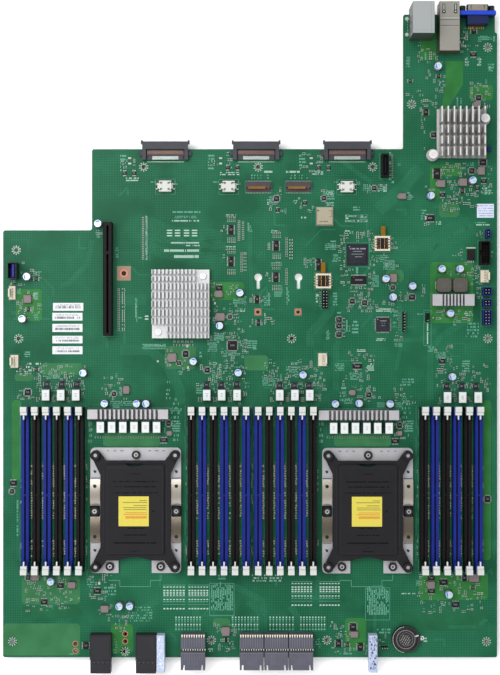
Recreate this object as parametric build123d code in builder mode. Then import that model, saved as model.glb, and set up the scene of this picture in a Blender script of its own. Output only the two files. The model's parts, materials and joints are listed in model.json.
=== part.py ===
"""Server main board with its slots, sockets, heat sinks, connectors and small parts.

Millimetres. The board lies flat in XY with its underside at z = 0 and its parts on the +Z side.
Origin: midpoint between the two front corner mounting holes, on the underside of the board.
+X runs along the front edge to the right, +Y runs towards the rear connectors.
"""
import os
from build123d import *

os.makedirs("parts", exist_ok=True)

# ---------------------------------------------------------------- shared values and helpers
BOARD_T = 2.36                # board thickness, also the height of its top face
UNDERSIDE = -BOARD_T          # the board's underside, measured from its top face
OVER = 20                     # height of a cut that runs out past the top of its part
ACROSS = 80                   # length of a cut that runs out past both ends of its part
ON_BASE = (Align.CENTER, Align.CENTER, Align.MIN)
CUT = Mode.SUBTRACT


def spread(centre, count, pitch):
    """Evenly pitched positions, centred on one coordinate."""
    return [centre + (i - (count - 1) / 2) * pitch for i in range(count)]


def corners(half_x, half_y):
    """The four corner offsets of a rectangle given by its half sizes."""
    return [(side * half_x, end * half_y) for side in (-1, 1) for end in (-1, 1)]


def around(centres, offsets):
    """Every offset placed about every centre."""
    return [(x + shift_x, y + shift_y) for x, y in centres for shift_x, shift_y in offsets]


def raised(profile):
    """A profile of (y, height above the board) as (y, z)."""
    return [(y, BOARD_T + rise) for y, rise in profile]


def boxes(places, rise, size, mode=Mode.ADD):
    """Boxes of (x, y, z) size at (x, y) places, their floors at rise above the board."""
    with Locations(*[(x, y, BOARD_T + rise) for x, y in places]):
        Box(*size, align=ON_BASE, mode=mode)


def cylinders(places, rise, radius, height, mode=Mode.ADD):
    """Upright cylinders at (x, y) places, their floors at rise above the board."""
    with Locations(*[(x, y, BOARD_T + rise) for x, y in places]):
        Cylinder(radius, height, align=ON_BASE, mode=mode)


def copies(shape, places):
    """Copies of a shape that was drawn about the origin."""
    with Locations(*[(x, y, 0) for x, y in places]):
        add(shape)


def save(builder, name):
    """Label a finished piece and write its file."""
    builder.part.label = name
    export_step(builder.part, f"parts/{name}.step")


# ---------------------------------------------------------------- shared layout
# processor sockets, with the screws and studs placed about each socket centre
SOCKETS = [(-98.1, 113.8), (102.0, 113.5)]
SCREW_OFFSETS = [(0.4, 48.0), (-22.2, -48.2), (21.6, -48.2), (-35.1, -0.3), (35.1, -0.3)]
FRONT_SCREWS = slice(1, 3)    # the two screws at the front of the socket
SIDE_SCREWS = slice(3, 5)     # the two screws halfway along the sides
STUD_OFFSETS = corners(34.2, 48.0)
STUD_R = 2.0
SCREW_PLACES = around(SOCKETS, SCREW_OFFSETS)
STUD_PLACES = around(SOCKETS, STUD_OFFSETS)

PUSH_PINS = [(157.7, 420.1), (202.2, 451.0)]    # pins of the network heat sink

# ---------------------------------------------------------------- printed circuit board
BOARD_LEFT = -213.1
BOARD_RIGHT = 214.2
BOARD_FRONT = -13.6
SHOULDER_Y = 355.7            # rear edge of the left shoulder
SHOULDER_X = -136.2
REAR_Y = 425.9                # rear edge of the main field
STEM_LEFT = 133.0
STEM_Y = 542.3                # rear edge of the connector stem
STEM_RIGHT = 212.3
STEP_Y = 526.8
CORNER_R = 1.8

MOUNT_HOLES = [
    (-205.0, 0.0), (205.0, 0.0), (-32.9, 1.2), (67.1, 1.2), (-107.4, -8.5),
    (-199.6, 262.0), (36.5, 262.0), (206.3, 262.0), (-201.7, 338.6),
    (206.2, 513.9), (140.3, 464.7), (-91.5, 410.5), (7.55, 410.5), (106.6, 410.5),
]
RISER_SCREW = (-108.6, 318.5)
M2_SCREWS = [(7.35, 285.1), (41.95, 285.1)]
PILOT_HOLES = [(-150.5, -1.9), (-150.5, -8.0), (-107.5, 6.6), (-107.5, 0.2)]
KEYHOLES = [(7.6, 315.1), (42.5, 315.1)]
KEYHOLE_SLOT = (2.2, 9.0)
KEYHOLE_SLOT_SHIFT = (0, -5.6)    # slot centre from the round end

# places, radius
ROUND_HOLES = [
    (MOUNT_HOLES, 1.95),
    ([RISER_SCREW], 1.7),
    (M2_SCREWS, 1.6),
    (PILOT_HOLES, 1.3),
    (KEYHOLES, 3.2),
    (PUSH_PINS, 1.8),
    (STUD_PLACES, STUD_R + 0.3),
    (SCREW_PLACES, 1.9),
]

with BuildPart() as pcb:
    with BuildSketch() as outline:
        with BuildLine():
            Polyline(
                (BOARD_LEFT, BOARD_FRONT), (BOARD_RIGHT, BOARD_FRONT), (BOARD_RIGHT, STEP_Y),
                (STEM_RIGHT, STEP_Y), (STEM_RIGHT, STEM_Y), (STEM_LEFT, STEM_Y),
                (STEM_LEFT, REAR_Y), (SHOULDER_X, REAR_Y), (SHOULDER_X, SHOULDER_Y),
                (BOARD_LEFT, SHOULDER_Y), close=True,
            )
        make_face()
        # every corner but the inner one of the small step on the right stays in the selection
        fillet(
            [v for v in outline.vertices() if abs(v.X - STEM_RIGHT) > 0.1 or v.Y > STEM_Y - 1],
            CORNER_R,
        )
        for places, radius in ROUND_HOLES:
            with Locations(*places):
                Circle(radius, mode=CUT)
        with Locations(*around(KEYHOLES, [KEYHOLE_SLOT_SHIFT])):
            Rectangle(*KEYHOLE_SLOT, mode=CUT)
    extrude(amount=BOARD_T)
save(pcb, "pcb")

# ---------------------------------------------------------------- memory slots
BANK_X = [-169.1, -26.3, 31.0, 173.6]
SLOT_OFFSETS = spread(0, 6, 9.4)
SLOT_Y = 132.3
SLOT_W = 6.6
SLOT_L = 141.6
SLOT_H = 9.0
TOWER_H = 12.0                # raised end blocks
TOWER_L = 9.0
SLOT_CHAMFER = 0.5
RELIEF_W = 0.7
RELIEF_RISE = 3.2
RELIEF_L = SLOT_L - 2 * TOWER_L - 2.0
GROOVE_W = 1.6
GROOVE_RISE = 3.0
GROOVE_HALF = 66.0            # end of the groove from the slot centre
KEY_REAR = -4.1               # rear and front faces of the key rib
KEY_FRONT = -5.5
CHANNEL_W = 3.4
CHANNEL_L = 10.0
CHANNEL_RISE = 1.0
PIVOT_Y = 68.4
PIVOT_RISE = 3.2
PIVOT_BORE_R = 0.95

# one slot is drawn about its own centre, then copied to every position of its colour
with BuildPart() as slot_master:
    boxes([(0, 0)], 0, (SLOT_W, SLOT_L, SLOT_H))
    boxes([(0, end * (SLOT_L - TOWER_L) / 2) for end in (-1, 1)], 0, (SLOT_W, TOWER_L, TOWER_H))
    chamfer(slot_master.edges().filter_by(Axis.Y).group_by(Axis.Z)[-1], SLOT_CHAMFER)
    # side relief between the towers, leaving a wider foot
    boxes([(side * SLOT_W / 2, 0) for side in (-1, 1)], RELIEF_RISE, (RELIEF_W, RELIEF_L, OVER), CUT)
    # module groove, with the key rib left standing
    for start, stop in ((KEY_REAR, GROOVE_HALF), (-GROOVE_HALF, KEY_FRONT)):
        boxes([(0, (start + stop) / 2)], GROOVE_RISE, (GROOVE_W, stop - start, OVER), CUT)
    # latch channels, open to the outer end, and the pivot bores through both cheeks
    boxes([(0, end * (GROOVE_HALF + CHANNEL_L / 2)) for end in (-1, 1)],
          CHANNEL_RISE, (CHANNEL_W, CHANNEL_L, OVER), CUT)
    for end in (-1, 1):
        with Locations(Location((0, end * PIVOT_Y, BOARD_T + PIVOT_RISE), (0, 90, 0))):
            Cylinder(PIVOT_BORE_R, SLOT_W + 2, mode=CUT)

# colour of each slot from left to right: b is blue, k is black
SLOT_COLOURS = ("bkbkbk" + "kbkbkb") * 2
SLOT_XS = [bank_x + offset for bank_x in BANK_X for offset in SLOT_OFFSETS]

for colour, letter in (("blue", "b"), ("black", "k")):
    with BuildPart() as dimm_slots:
        copies(slot_master.part,
               [(x, SLOT_Y) for x, code in zip(SLOT_XS, SLOT_COLOURS) if code == letter])
    save(dimm_slots, f"dimm_slots_{colour}")

# ---------------------------------------------------------------- slot latches
LATCH_W = 3.0
LATCH_FOOT_R = 1.8
HEAD_W = 5.4
HOOK_W = 1.2
TRUNNION_R = 0.90
TRUNNION_L = 5.8

# latch profiles: y from the slot centre, height above the board
ARM_PROFILE = [(66.9, 3.2), (66.9, 13.4), (70.9, 13.4), (70.2, 3.2)]
HEAD_PROFILE = [
    (64.4, 14.6), (66.9, 12.8), (71.0, 12.8), (71.6, 16.2),
    (71.6, 19.0), (67.4, 19.0), (66.6, 17.4), (64.4, 17.4),
]
HOOK_PROFILE = [(65.0, 14.4), (65.0, 17.0), (60.6, 16.2), (60.6, 15.2)]

# one latch for the rear end: rounded foot, arm, wide head with a step, and two trunnions
with BuildPart() as latch_master:
    with BuildSketch(Plane.YZ.offset(-LATCH_W / 2)):
        with Locations((PIVOT_Y, BOARD_T + PIVOT_RISE)):
            Circle(LATCH_FOOT_R)
        with BuildLine():
            Polyline(*raised(ARM_PROFILE), close=True)
        make_face()
    extrude(amount=LATCH_W)
    # the head, then the thin hook that reaches inwards over the slot
    for width, profile in ((HEAD_W, HEAD_PROFILE), (HOOK_W, HOOK_PROFILE)):
        with BuildSketch(Plane.YZ.offset(-width / 2)):
            with BuildLine():
                Polyline(*raised(profile), close=True)
            make_face()
        extrude(amount=width)
    with Locations(Location((0, PIVOT_Y, BOARD_T + PIVOT_RISE), (0, 90, 0))):
        Cylinder(TRUNNION_R, TRUNNION_L)
rear_latch = latch_master.part
front_latch = rear_latch.mirror(Plane.XZ)

for bank, bank_x in zip("abcd", BANK_X):
    for end_name, latch in (("rear", rear_latch), ("front", front_latch)):
        with BuildPart() as latches:
            copies(latch, [(bank_x + offset, SLOT_Y) for offset in SLOT_OFFSETS])
        save(latches, f"latches_{bank}_{end_name}")

# ---------------------------------------------------------------- processor sockets
SOCKET_SIZE = (58.0, 78.0, 5.0)
SOCKET_WELL = (50.0, 68.0)
SOCKET_WELL_RISE = 3.2
SOCKET_PIT = (22.0, 30.0)     # deeper recess in the middle of the well
SOCKET_PIT_RISE = 1.6
SOCKET_CHAMFER = 1.2
with BuildPart() as cpu_sockets:
    boxes(SOCKETS, 0, SOCKET_SIZE)
    boxes(SOCKETS, SOCKET_WELL_RISE, (*SOCKET_WELL, OVER), CUT)
    boxes(SOCKETS, SOCKET_PIT_RISE, (*SOCKET_PIT, OVER), CUT)
    chamfer(cpu_sockets.edges().filter_by(Axis.Z).group_by(SortBy.LENGTH)[-1], SOCKET_CHAMFER)
save(cpu_sockets, "cpu_sockets")

BOLSTER_W = 78.3
BOLSTER_L = 108.3
BOLSTER_T = 2.4
BOLSTER_CORNER_R = 4.0
BOLSTER_OPENING = (60.4, 83.0)
BOLSTER_NOTCH = (28.6, 20.0)
BOLSTER_NOTCH_SHIFT = (-0.6, -49.0)
STUD_HOLE_R = STUD_R + 0.05
SCREW_HOLE_R = 1.7            # in the bolster plates and their clips
with BuildPart() as bolster_plates:
    with BuildSketch(Plane.XY.offset(BOARD_T)):
        with Locations(*SOCKETS):
            RectangleRounded(BOLSTER_W, BOLSTER_L, BOLSTER_CORNER_R)
            Rectangle(*BOLSTER_OPENING, mode=CUT)
        with Locations(*around(SOCKETS, [BOLSTER_NOTCH_SHIFT])):
            Rectangle(*BOLSTER_NOTCH, mode=CUT)
        with Locations(*STUD_PLACES):
            Circle(STUD_HOLE_R, mode=CUT)
        with Locations(*SCREW_PLACES):
            Circle(SCREW_HOLE_R, mode=CUT)
    extrude(amount=BOLSTER_T)
save(bolster_plates, "bolster_plates")

# arched spring leaves along both sides of each bolster plate
LEAF_T = 0.9
LEAF_RISE = 1.6
LEAF_W = 8.6
LEAF_X = 34.9                 # leaf centre line from the socket centre
LEAF_SPANS = [(4.9, 27.0), (-27.0, -5.5)]    # front and rear ends from the socket centre
LEAF_FOOT = BOARD_T + BOLSTER_T
LEAF_SHOULDER = LEAF_FOOT + LEAF_T
with BuildPart() as leaf_springs:
    for socket_x, socket_y in SOCKETS:
        for side in (-1, 1):
            for start, stop in LEAF_SPANS:
                front = socket_y + start
                rear = socket_y + stop
                middle = (front + rear) / 2
                with BuildSketch(Plane.YZ.offset(socket_x + side * LEAF_X - LEAF_W / 2)):
                    with BuildLine():
                        ThreePointArc((front, LEAF_SHOULDER), (middle, LEAF_SHOULDER + LEAF_RISE),
                                      (rear, LEAF_SHOULDER))
                        Line((rear, LEAF_SHOULDER), (rear, LEAF_FOOT))
                        ThreePointArc((rear, LEAF_FOOT), (middle, LEAF_FOOT + LEAF_RISE),
                                      (front, LEAF_FOOT))
                        Line((front, LEAF_FOOT), (front, LEAF_SHOULDER))
                    make_face()
                extrude(amount=LEAF_W)
save(leaf_springs, "leaf_springs")

# black clips halfway along each side, under the side screws
CLIP_W = 8.4
CLIP_L = 9.2
CLIP_T = 2.4
CLIP_CORNER_R = 1.0
with BuildPart() as bolster_clips:
    with BuildSketch(Plane.XY.offset(BOARD_T + BOLSTER_T)):
        with Locations(*around(SOCKETS, SCREW_OFFSETS[SIDE_SCREWS])):
            RectangleRounded(CLIP_W, CLIP_L, CLIP_CORNER_R)
            Circle(SCREW_HOLE_R, mode=CUT)
    extrude(amount=CLIP_T)
save(bolster_clips, "bolster_clips")

# screws that hold each bolster plate to its back plate, each with a round recess in its head
BACKPLATE_T = 2.0
SCREW_HEAD_R = 3.7
SCREW_HEAD_H = 2.4
SCREW_SHANK_R = 1.6
SHANK_INTO_HEAD = 1.0
RECESS_R = 1.7
RECESS_RISE = 1.2             # recess floor above the underside of the head
with BuildPart() as bolster_screws:
    for socket in SOCKETS:
        for index, offset in enumerate(SCREW_OFFSETS):
            place = around([socket], [offset])
            seat = BOLSTER_T + (CLIP_T if index >= SIDE_SCREWS.start else 0.0)
            cylinders(place, seat, SCREW_HEAD_R, SCREW_HEAD_H)
            cylinders(place, UNDERSIDE - BACKPLATE_T, SCREW_SHANK_R,
                      BACKPLATE_T + BOARD_T + seat + SHANK_INTO_HEAD)
            cylinders(place, seat + RECESS_RISE, RECESS_R, OVER, CUT)
save(bolster_screws, "bolster_screws")

STUD_RISE = 9.5               # stud tip above the board
STUD_CHAMFER = 0.4
with BuildPart() as heatsink_studs:
    cylinders(STUD_PLACES, UNDERSIDE - BACKPLATE_T, STUD_R, BACKPLATE_T + BOARD_T + STUD_RISE)
    chamfer(heatsink_studs.edges().filter_by(GeomType.CIRCLE).group_by(Axis.Z)[-1], STUD_CHAMFER)
save(heatsink_studs, "heatsink_studs")

BACKPLATE = (78.0, 106.0, 5.0)            # x, y, corner radius
BACKPLATE_WINDOW = (40.0, 50.0, 3.0)
BACKPLATE_SCREW_HOLE_R = 1.65
with BuildPart() as cpu_backplates:
    with BuildSketch(Plane.XY.offset(-BACKPLATE_T)):
        with Locations(*SOCKETS):
            RectangleRounded(*BACKPLATE)
            RectangleRounded(*BACKPLATE_WINDOW, mode=CUT)
        with Locations(*STUD_PLACES):
            Circle(STUD_HOLE_R, mode=CUT)
        with Locations(*SCREW_PLACES):
            Circle(BACKPLATE_SCREW_HOLE_R, mode=CUT)
    extrude(amount=BACKPLATE_T)
save(cpu_backplates, "cpu_backplates")

# ---------------------------------------------------------------- socket covers
# panel with a raised centre, a small arched window at the rear, an arc cut at the front,
# and four sleeves that slide over the studs
COVER_Z = BOARD_T + 5.4
PANEL_T = 2.2
PANEL = (60.0, 86.0, 2.5)                 # x, y, corner radius
PANEL_CENTRE = (0, 0.5)
CENTRE_PAD = (49.7, 76.9, 1.5)            # x, y, corner radius
CENTRE_PAD_CENTRE = (-0.2, 1.7)
CENTRE_PAD_T = 2.0
COVER_ARM = [(20.0, 36.0), (30.5, 50.5), (37.5, 46.5), (29.5, 30.0)]    # rear right arm outline
WINDOW_LEFT = (-9.05, 41.0)
WINDOW_RIGHT = (7.25, 41.0)
WINDOW_FRONT = (-0.9, 38.3)
FRONT_ARC_CENTRE = (-0.6, -74.8)
FRONT_ARC_R = 35.2
SCREW_CLEARANCE_R = 4.4
SLEEVE_R = 4.2
SLEEVE_H = 9.2
SLEEVE_RISE = BOLSTER_T + 0.2
SLEEVE_BORE_R = STUD_R + 0.08
SLEEVE_FILLET = 0.8

with BuildPart() as cover_master:
    with BuildSketch(Plane.XY.offset(COVER_Z)):
        with Locations(PANEL_CENTRE):
            RectangleRounded(*PANEL)
        for side, end in corners(1, 1):
            with BuildLine():
                Polyline(*[(side * x, end * y) for x, y in COVER_ARM], close=True)
            make_face()
        with BuildLine():
            Line(WINDOW_LEFT, WINDOW_RIGHT)
            ThreePointArc(WINDOW_RIGHT, WINDOW_FRONT, WINDOW_LEFT)
        make_face(mode=CUT)
        with Locations(FRONT_ARC_CENTRE):
            Circle(FRONT_ARC_R, mode=CUT)
        with Locations(*SCREW_OFFSETS[FRONT_SCREWS]):
            Circle(SCREW_CLEARANCE_R, mode=CUT)
    extrude(amount=PANEL_T)
    with BuildSketch(Plane.XY.offset(COVER_Z + PANEL_T)):
        with Locations(CENTRE_PAD_CENTRE):
            RectangleRounded(*CENTRE_PAD)
        with BuildLine():
            Line(WINDOW_LEFT, WINDOW_RIGHT)
            ThreePointArc(WINDOW_RIGHT, WINDOW_FRONT, WINDOW_LEFT)
        make_face(mode=CUT)
    extrude(amount=CENTRE_PAD_T)
    cylinders(STUD_OFFSETS, SLEEVE_RISE, SLEEVE_R, SLEEVE_H)
    cylinders(STUD_OFFSETS, 0, SLEEVE_BORE_R, OVER, CUT)
    fillet(cover_master.edges().filter_by(GeomType.CIRCLE).group_by(Axis.Z)[-1], SLEEVE_FILLET)

for number, socket in enumerate(SOCKETS, 1):
    with BuildPart() as socket_cover:
        copies(cover_master.part, [socket])
    save(socket_cover, f"socket_cover_{number}")

# ---------------------------------------------------------------- chipset and its heat sink
CHIPSET = (-59.2, 291.9)
CHIPSET_SUBSTRATE = (34.0, 28.0, 1.2)
CHIPSET_DIE_TOP = 2.6
CHIPSET_DIE = (20.0, 18.0, CHIPSET_DIE_TOP)
with BuildPart() as chipset_package:
    boxes([CHIPSET], 0, CHIPSET_SUBSTRATE)
    boxes([CHIPSET], 0, CHIPSET_DIE)
save(chipset_package, "chipset_package")

CHIPSET_SINK = (49.5, 59.1, 8.4)
SINK_FLOOR = 4.8              # bottom of the fin cuts above the board
FIN_CUT_W = 1.7
FIN_CUT_XS = spread(CHIPSET[0], 15, 3.3)
FIN_CUT_YS = [316.5, 310.6, 303.1, 295.6, 288.1, 280.6, 273.5, 267.1]
# cleared pads at the rear right and front left corners, each with a low boss
SINK_PADS = around([CHIPSET], [(19.2, 23.8), (-19.4, -24.3)])
SINK_PAD = (11.3, 11.8)
PAD_BOSS_R = 3.0
PAD_BOSS_H = 1.0
with BuildPart() as chipset_heatsink:
    boxes([CHIPSET], CHIPSET_DIE_TOP, CHIPSET_SINK)
    boxes([(x, CHIPSET[1]) for x in FIN_CUT_XS], SINK_FLOOR, (FIN_CUT_W, ACROSS, OVER), CUT)
    boxes([(CHIPSET[0], y) for y in FIN_CUT_YS], SINK_FLOOR, (ACROSS, FIN_CUT_W, OVER), CUT)
    boxes(SINK_PADS, SINK_FLOOR, (*SINK_PAD, OVER), CUT)
    cylinders(SINK_PADS, SINK_FLOOR, PAD_BOSS_R, PAD_BOSS_H)
save(chipset_heatsink, "chipset_heatsink")

# ---------------------------------------------------------------- network chip and its heat sink
NETWORK = (182.7, 438.6)
NETWORK_T = 2.2
NETWORK_CHIP = (25.0, 25.0, NETWORK_T)
with BuildPart() as network_package:
    boxes([NETWORK], 0, NETWORK_CHIP)
save(network_package, "network_package")

NETWORK_SINK_W = 42.6
NETWORK_SINK_L = 41.9
NETWORK_BASE_T = 3.0
NETWORK_BASE_TOP = NETWORK_T + NETWORK_BASE_T
PIN_EAR_R = 5.2
PIN_HOLE_R = 1.75
NETWORK_FIN_XS = [163.6 + 5.22 * i for i in range(8)]
NETWORK_FIN = (1.1, NETWORK_SINK_L, 16.8)
NETWORK_CUT_YS = (445.0, 435.7, 426.4)
NETWORK_CUT_W = 2.4
NETWORK_CUT_RISE = 7.5
PIN_CLEARANCE_R = 6.0
with BuildPart() as network_heatsink:
    with BuildSketch(Plane.XY.offset(BOARD_T + NETWORK_T)):
        with Locations(NETWORK):
            Rectangle(NETWORK_SINK_W, NETWORK_SINK_L)
        with Locations(*PUSH_PINS):
            Circle(PIN_EAR_R)
        with Locations(*PUSH_PINS):
            Circle(PIN_HOLE_R, mode=CUT)
    extrude(amount=NETWORK_BASE_T)
    boxes([(x, NETWORK[1]) for x in NETWORK_FIN_XS], NETWORK_BASE_TOP, NETWORK_FIN)
    boxes([(NETWORK[0], y) for y in NETWORK_CUT_YS], NETWORK_CUT_RISE,
          (ACROSS, NETWORK_CUT_W, OVER), CUT)
    cylinders(PUSH_PINS, NETWORK_BASE_TOP, PIN_CLEARANCE_R, OVER, CUT)
save(network_heatsink, "network_heatsink")

PIN_TAIL = 2.6                # length below the board
PIN_SHANK_R = 1.6
PIN_FOOT_R = 2.4
PIN_FOOT_H = 2.3
PIN_HEAD_RISE = 9.4
PIN_HEAD_R = 3.8
PIN_HEAD_H = 2.2
PIN_COLLAR_R = 2.6
PIN_COLLAR_H = 4.0
with BuildPart() as push_pins:
    cylinders(PUSH_PINS, UNDERSIDE - PIN_TAIL, PIN_SHANK_R, PIN_TAIL + BOARD_T + PIN_HEAD_RISE)
    cylinders(PUSH_PINS, UNDERSIDE - PIN_TAIL, PIN_FOOT_R, PIN_FOOT_H)
    cylinders(PUSH_PINS, PIN_HEAD_RISE, PIN_HEAD_R, PIN_HEAD_H)
    cylinders(PUSH_PINS, PIN_HEAD_RISE - PIN_COLLAR_H, PIN_COLLAR_R, PIN_COLLAR_H)
save(push_pins, "push_pins")

# ---------------------------------------------------------------- regulator heat sinks
STAGE_T = 1.2                 # power stages under the sinks
VRM_FLOOR = 4.2               # bottom of the fin cuts above the board
VRM_END_MARGIN = 15.6         # width left out of the fin field, both ends together
# x, y, width, depth, top above the board, number of fin cuts
VRM_SINKS = [
    (-104.2, 197.2, 69.1, 8.2, 12.0, 14),
    (93.8, 196.4, 68.7, 8.2, 12.0, 14),
    (175.1, 295.2, 35.9, 9.9, 10.0, 7),
]
with BuildPart() as vrm_heatsinks:
    for x, y, width, depth, top, count in VRM_SINKS:
        boxes([(x, y)], STAGE_T, (width, depth, top - STAGE_T))
        pitch = (width - VRM_END_MARGIN) / count
        boxes([(cut_x, y) for cut_x in spread(x, count, pitch)], VRM_FLOOR,
              (pitch * 0.55, depth + 2, OVER), CUT)
save(vrm_heatsinks, "vrm_heatsinks")

# ---------------------------------------------------------------- power parts
POWER_STAGES = [
    (-175.2, 222.5), (-162.3, 222.5), (-149.2, 222.5), (-37.2, 222.0), (-24.5, 222.0),
    (-11.1, 222.5), (25.8, 221.4), (38.5, 221.4), (51.3, 221.4), (170.4, 220.9), (183.2, 220.9),
    (195.5, 220.9),
]
OPEN_STAGE = (5.2, 6.0, 1.0)
COVERED_STAGE = (5.2, 6.0, STAGE_T)
# stages under each heat sink: count, pitch
STAGES_UNDER_SINKS = [(6, 10.4), (6, 10.4), (2, 18.0)]
with BuildPart() as power_stages:
    boxes(POWER_STAGES, 0, OPEN_STAGE)
    for (x, y, *_), (count, pitch) in zip(VRM_SINKS, STAGES_UNDER_SINKS):
        boxes([(stage_x, y) for stage_x in spread(x, count, pitch)], 0, COVERED_STAGE)
save(power_stages, "power_stages")

CHOKE_CHAMFER = 0.35
CPU_CHOKE = (6.6, 9.6, 9.0)
CPU_CHOKES = [
    (-128.0, 185.9), (-118.3, 185.9), (-108.7, 185.9), (-99.1, 185.9), (-89.3, 185.9),
    (-79.7, 185.9), (72.3, 185.1), (81.6, 185.1), (91.1, 185.1), (100.9, 185.1), (110.2, 185.1),
    (120.0, 185.1),
]
with BuildPart() as cpu_chokes:
    boxes(CPU_CHOKES, 0, CPU_CHOKE)
    chamfer(cpu_chokes.edges().group_by(Axis.Z)[-1], CHOKE_CHAMFER)
save(cpu_chokes, "cpu_chokes")

MEMORY_CHOKE = (6.7, 9.5, 7.0)
MEMORY_CHOKES = [
    (-175.3, 213.4), (-162.3, 213.4), (-149.4, 213.4), (-36.7, 213.4), (-23.9, 213.4),
    (-10.6, 213.4), (26.1, 213.4), (39.1, 213.4), (51.9, 213.4), (170.4, 211.4), (183.4, 211.4),
    (196.8, 211.4),
]
with BuildPart() as memory_chokes:
    boxes(MEMORY_CHOKES, 0, MEMORY_CHOKE)
    chamfer(memory_chokes.edges().group_by(Axis.Z)[-1], CHOKE_CHAMFER)
save(memory_chokes, "memory_chokes")

SQUARE_INDUCTOR = (12.5, 12.4, 6.0)
SQUARE_INDUCTORS = [(167.7, 308.1), (181.7, 308.1)]
with BuildPart() as square_inductors:
    boxes(SQUARE_INDUCTORS, 0, SQUARE_INDUCTOR)
    chamfer(square_inductors.edges().filter_by(Axis.Z), 1.6)
    chamfer(square_inductors.edges().group_by(Axis.Z)[-1], 0.4)
save(square_inductors, "square_inductors")

SMALL_INDUCTOR_H = 3.0
SMALL_INDUCTOR_CHAMFER = 0.3
# x, y, width, depth
SMALL_INDUCTORS = [
    (-191.7, 296.3, 6.9, 6.9), (-66.7, 245.6, 7.2, 7.5), (-25.2, 280.7, 7.5, 6.8),
    (-26.5, 300.5, 6.5, 5.7), (-106.3, 217.8, 5.2, 6.9), (89.0, 215.5, 4.8, 4.8),
    (124.3, 314.3, 6.1, 7.3), (165.4, 395.8, 7.2, 6.1), (184.5, 397.1, 6.9, 6.5),
    (200.2, 406.9, 6.1, 6.9), (196.5, 464.0, 6.5, 5.2), (-184.7, 55.9, 6.1, 5.6),
    (-153.5, 49.3, 6.7, 5.6), (-125.0, 28.6, 6.7, 6.1), (-20.4, 9.3, 6.7, 7.7),
    (90.4, 6.6, 6.7, 5.5), (156.8, 49.5, 6.7, 6.1), (193.9, 55.6, 8.7, 6.9),
    (-69.2, 180.3, 4.3, 4.3), (129.6, 180.3, 4.3, 4.3), (132.0, 385.0, 6.6, 5.2),
]
with BuildPart() as small_inductors:
    for x, y, width, depth in SMALL_INDUCTORS:
        boxes([(x, y)], 0, (width, depth, SMALL_INDUCTOR_H))
    chamfer(small_inductors.edges().group_by(Axis.Z)[-1], SMALL_INDUCTOR_CHAMFER)
save(small_inductors, "small_inductors")

# can capacitors: square foot and a can with a rounded top edge
CAPACITOR_FOOT = (6.6, 6.6, 0.8)
CAN_R = 3.1
CAN_H = 7.8
CAN_FILLET = 0.5
CAPACITORS = [
    (-130.4, 361.1), (-191.6, 315.4), (-195.6, 279.1), (-143.2, 232.4), (-124.8, 206.1),
    (-97.2, 206.0), (-89.1, 206.0), (-8.2, 301.4), (-25.7, 273.1), (-48.4, 242.4), (-9.7, 232.7),
    (162.4, 496.5), (192.3, 398.3), (156.3, 385.1), (117.5, 313.6), (140.5, 307.3),
    (123.7, 297.8), (165.8, 322.1), (181.3, 322.1), (173.0, 283.8), (46.1, 230.8),
    (174.7, 229.2), (74.0, 205.8), (94.4, 206.3), (121.1, 205.8), (-171.1, 52.9), (-112.1, 31.6),
    (-103.1, 31.8), (171.8, 41.7),
]
with BuildPart() as polymer_capacitors:
    boxes(CAPACITORS, 0, CAPACITOR_FOOT)
    cylinders(CAPACITORS, 0, CAN_R, CAN_H)
    fillet(polymer_capacitors.edges().filter_by(GeomType.CIRCLE).group_by(Axis.Z)[-1], CAN_FILLET)
save(polymer_capacitors, "polymer_capacitors")

# ---------------------------------------------------------------- packages
BMC = (93.3, 334.5)
BMC_SUBSTRATE_T = 0.7
BMC_SUBSTRATE = (18.2, 18.5, BMC_SUBSTRATE_T)
BMC_CAP = (15.6, 15.9, 0.9)
with BuildPart() as bmc_package:
    boxes([BMC], 0, BMC_SUBSTRATE)
    boxes([BMC], BMC_SUBSTRATE_T, BMC_CAP)
    chamfer(bmc_package.edges().group_by(Axis.Z)[-1], 0.3)
save(bmc_package, "bmc_package")

LOGIC = (115.4, 274.0)
LOGIC_STANDOFF = 0.1
LOGIC_BODY = (12.0, 12.0, 1.3)
with BuildPart() as logic_package:
    boxes([LOGIC], LOGIC_STANDOFF, LOGIC_BODY)
    chamfer(logic_package.edges().filter_by(Axis.Z), 0.8)
save(logic_package, "logic_package")

IC_BODY_SHARE = 0.86          # moulded body as a share of the footprint
IC_H = 1.0
WIDE_IC = (94.5, 312.7)
WIDE_IC_BODY = (13.2, 7.3, 1.1)
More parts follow.
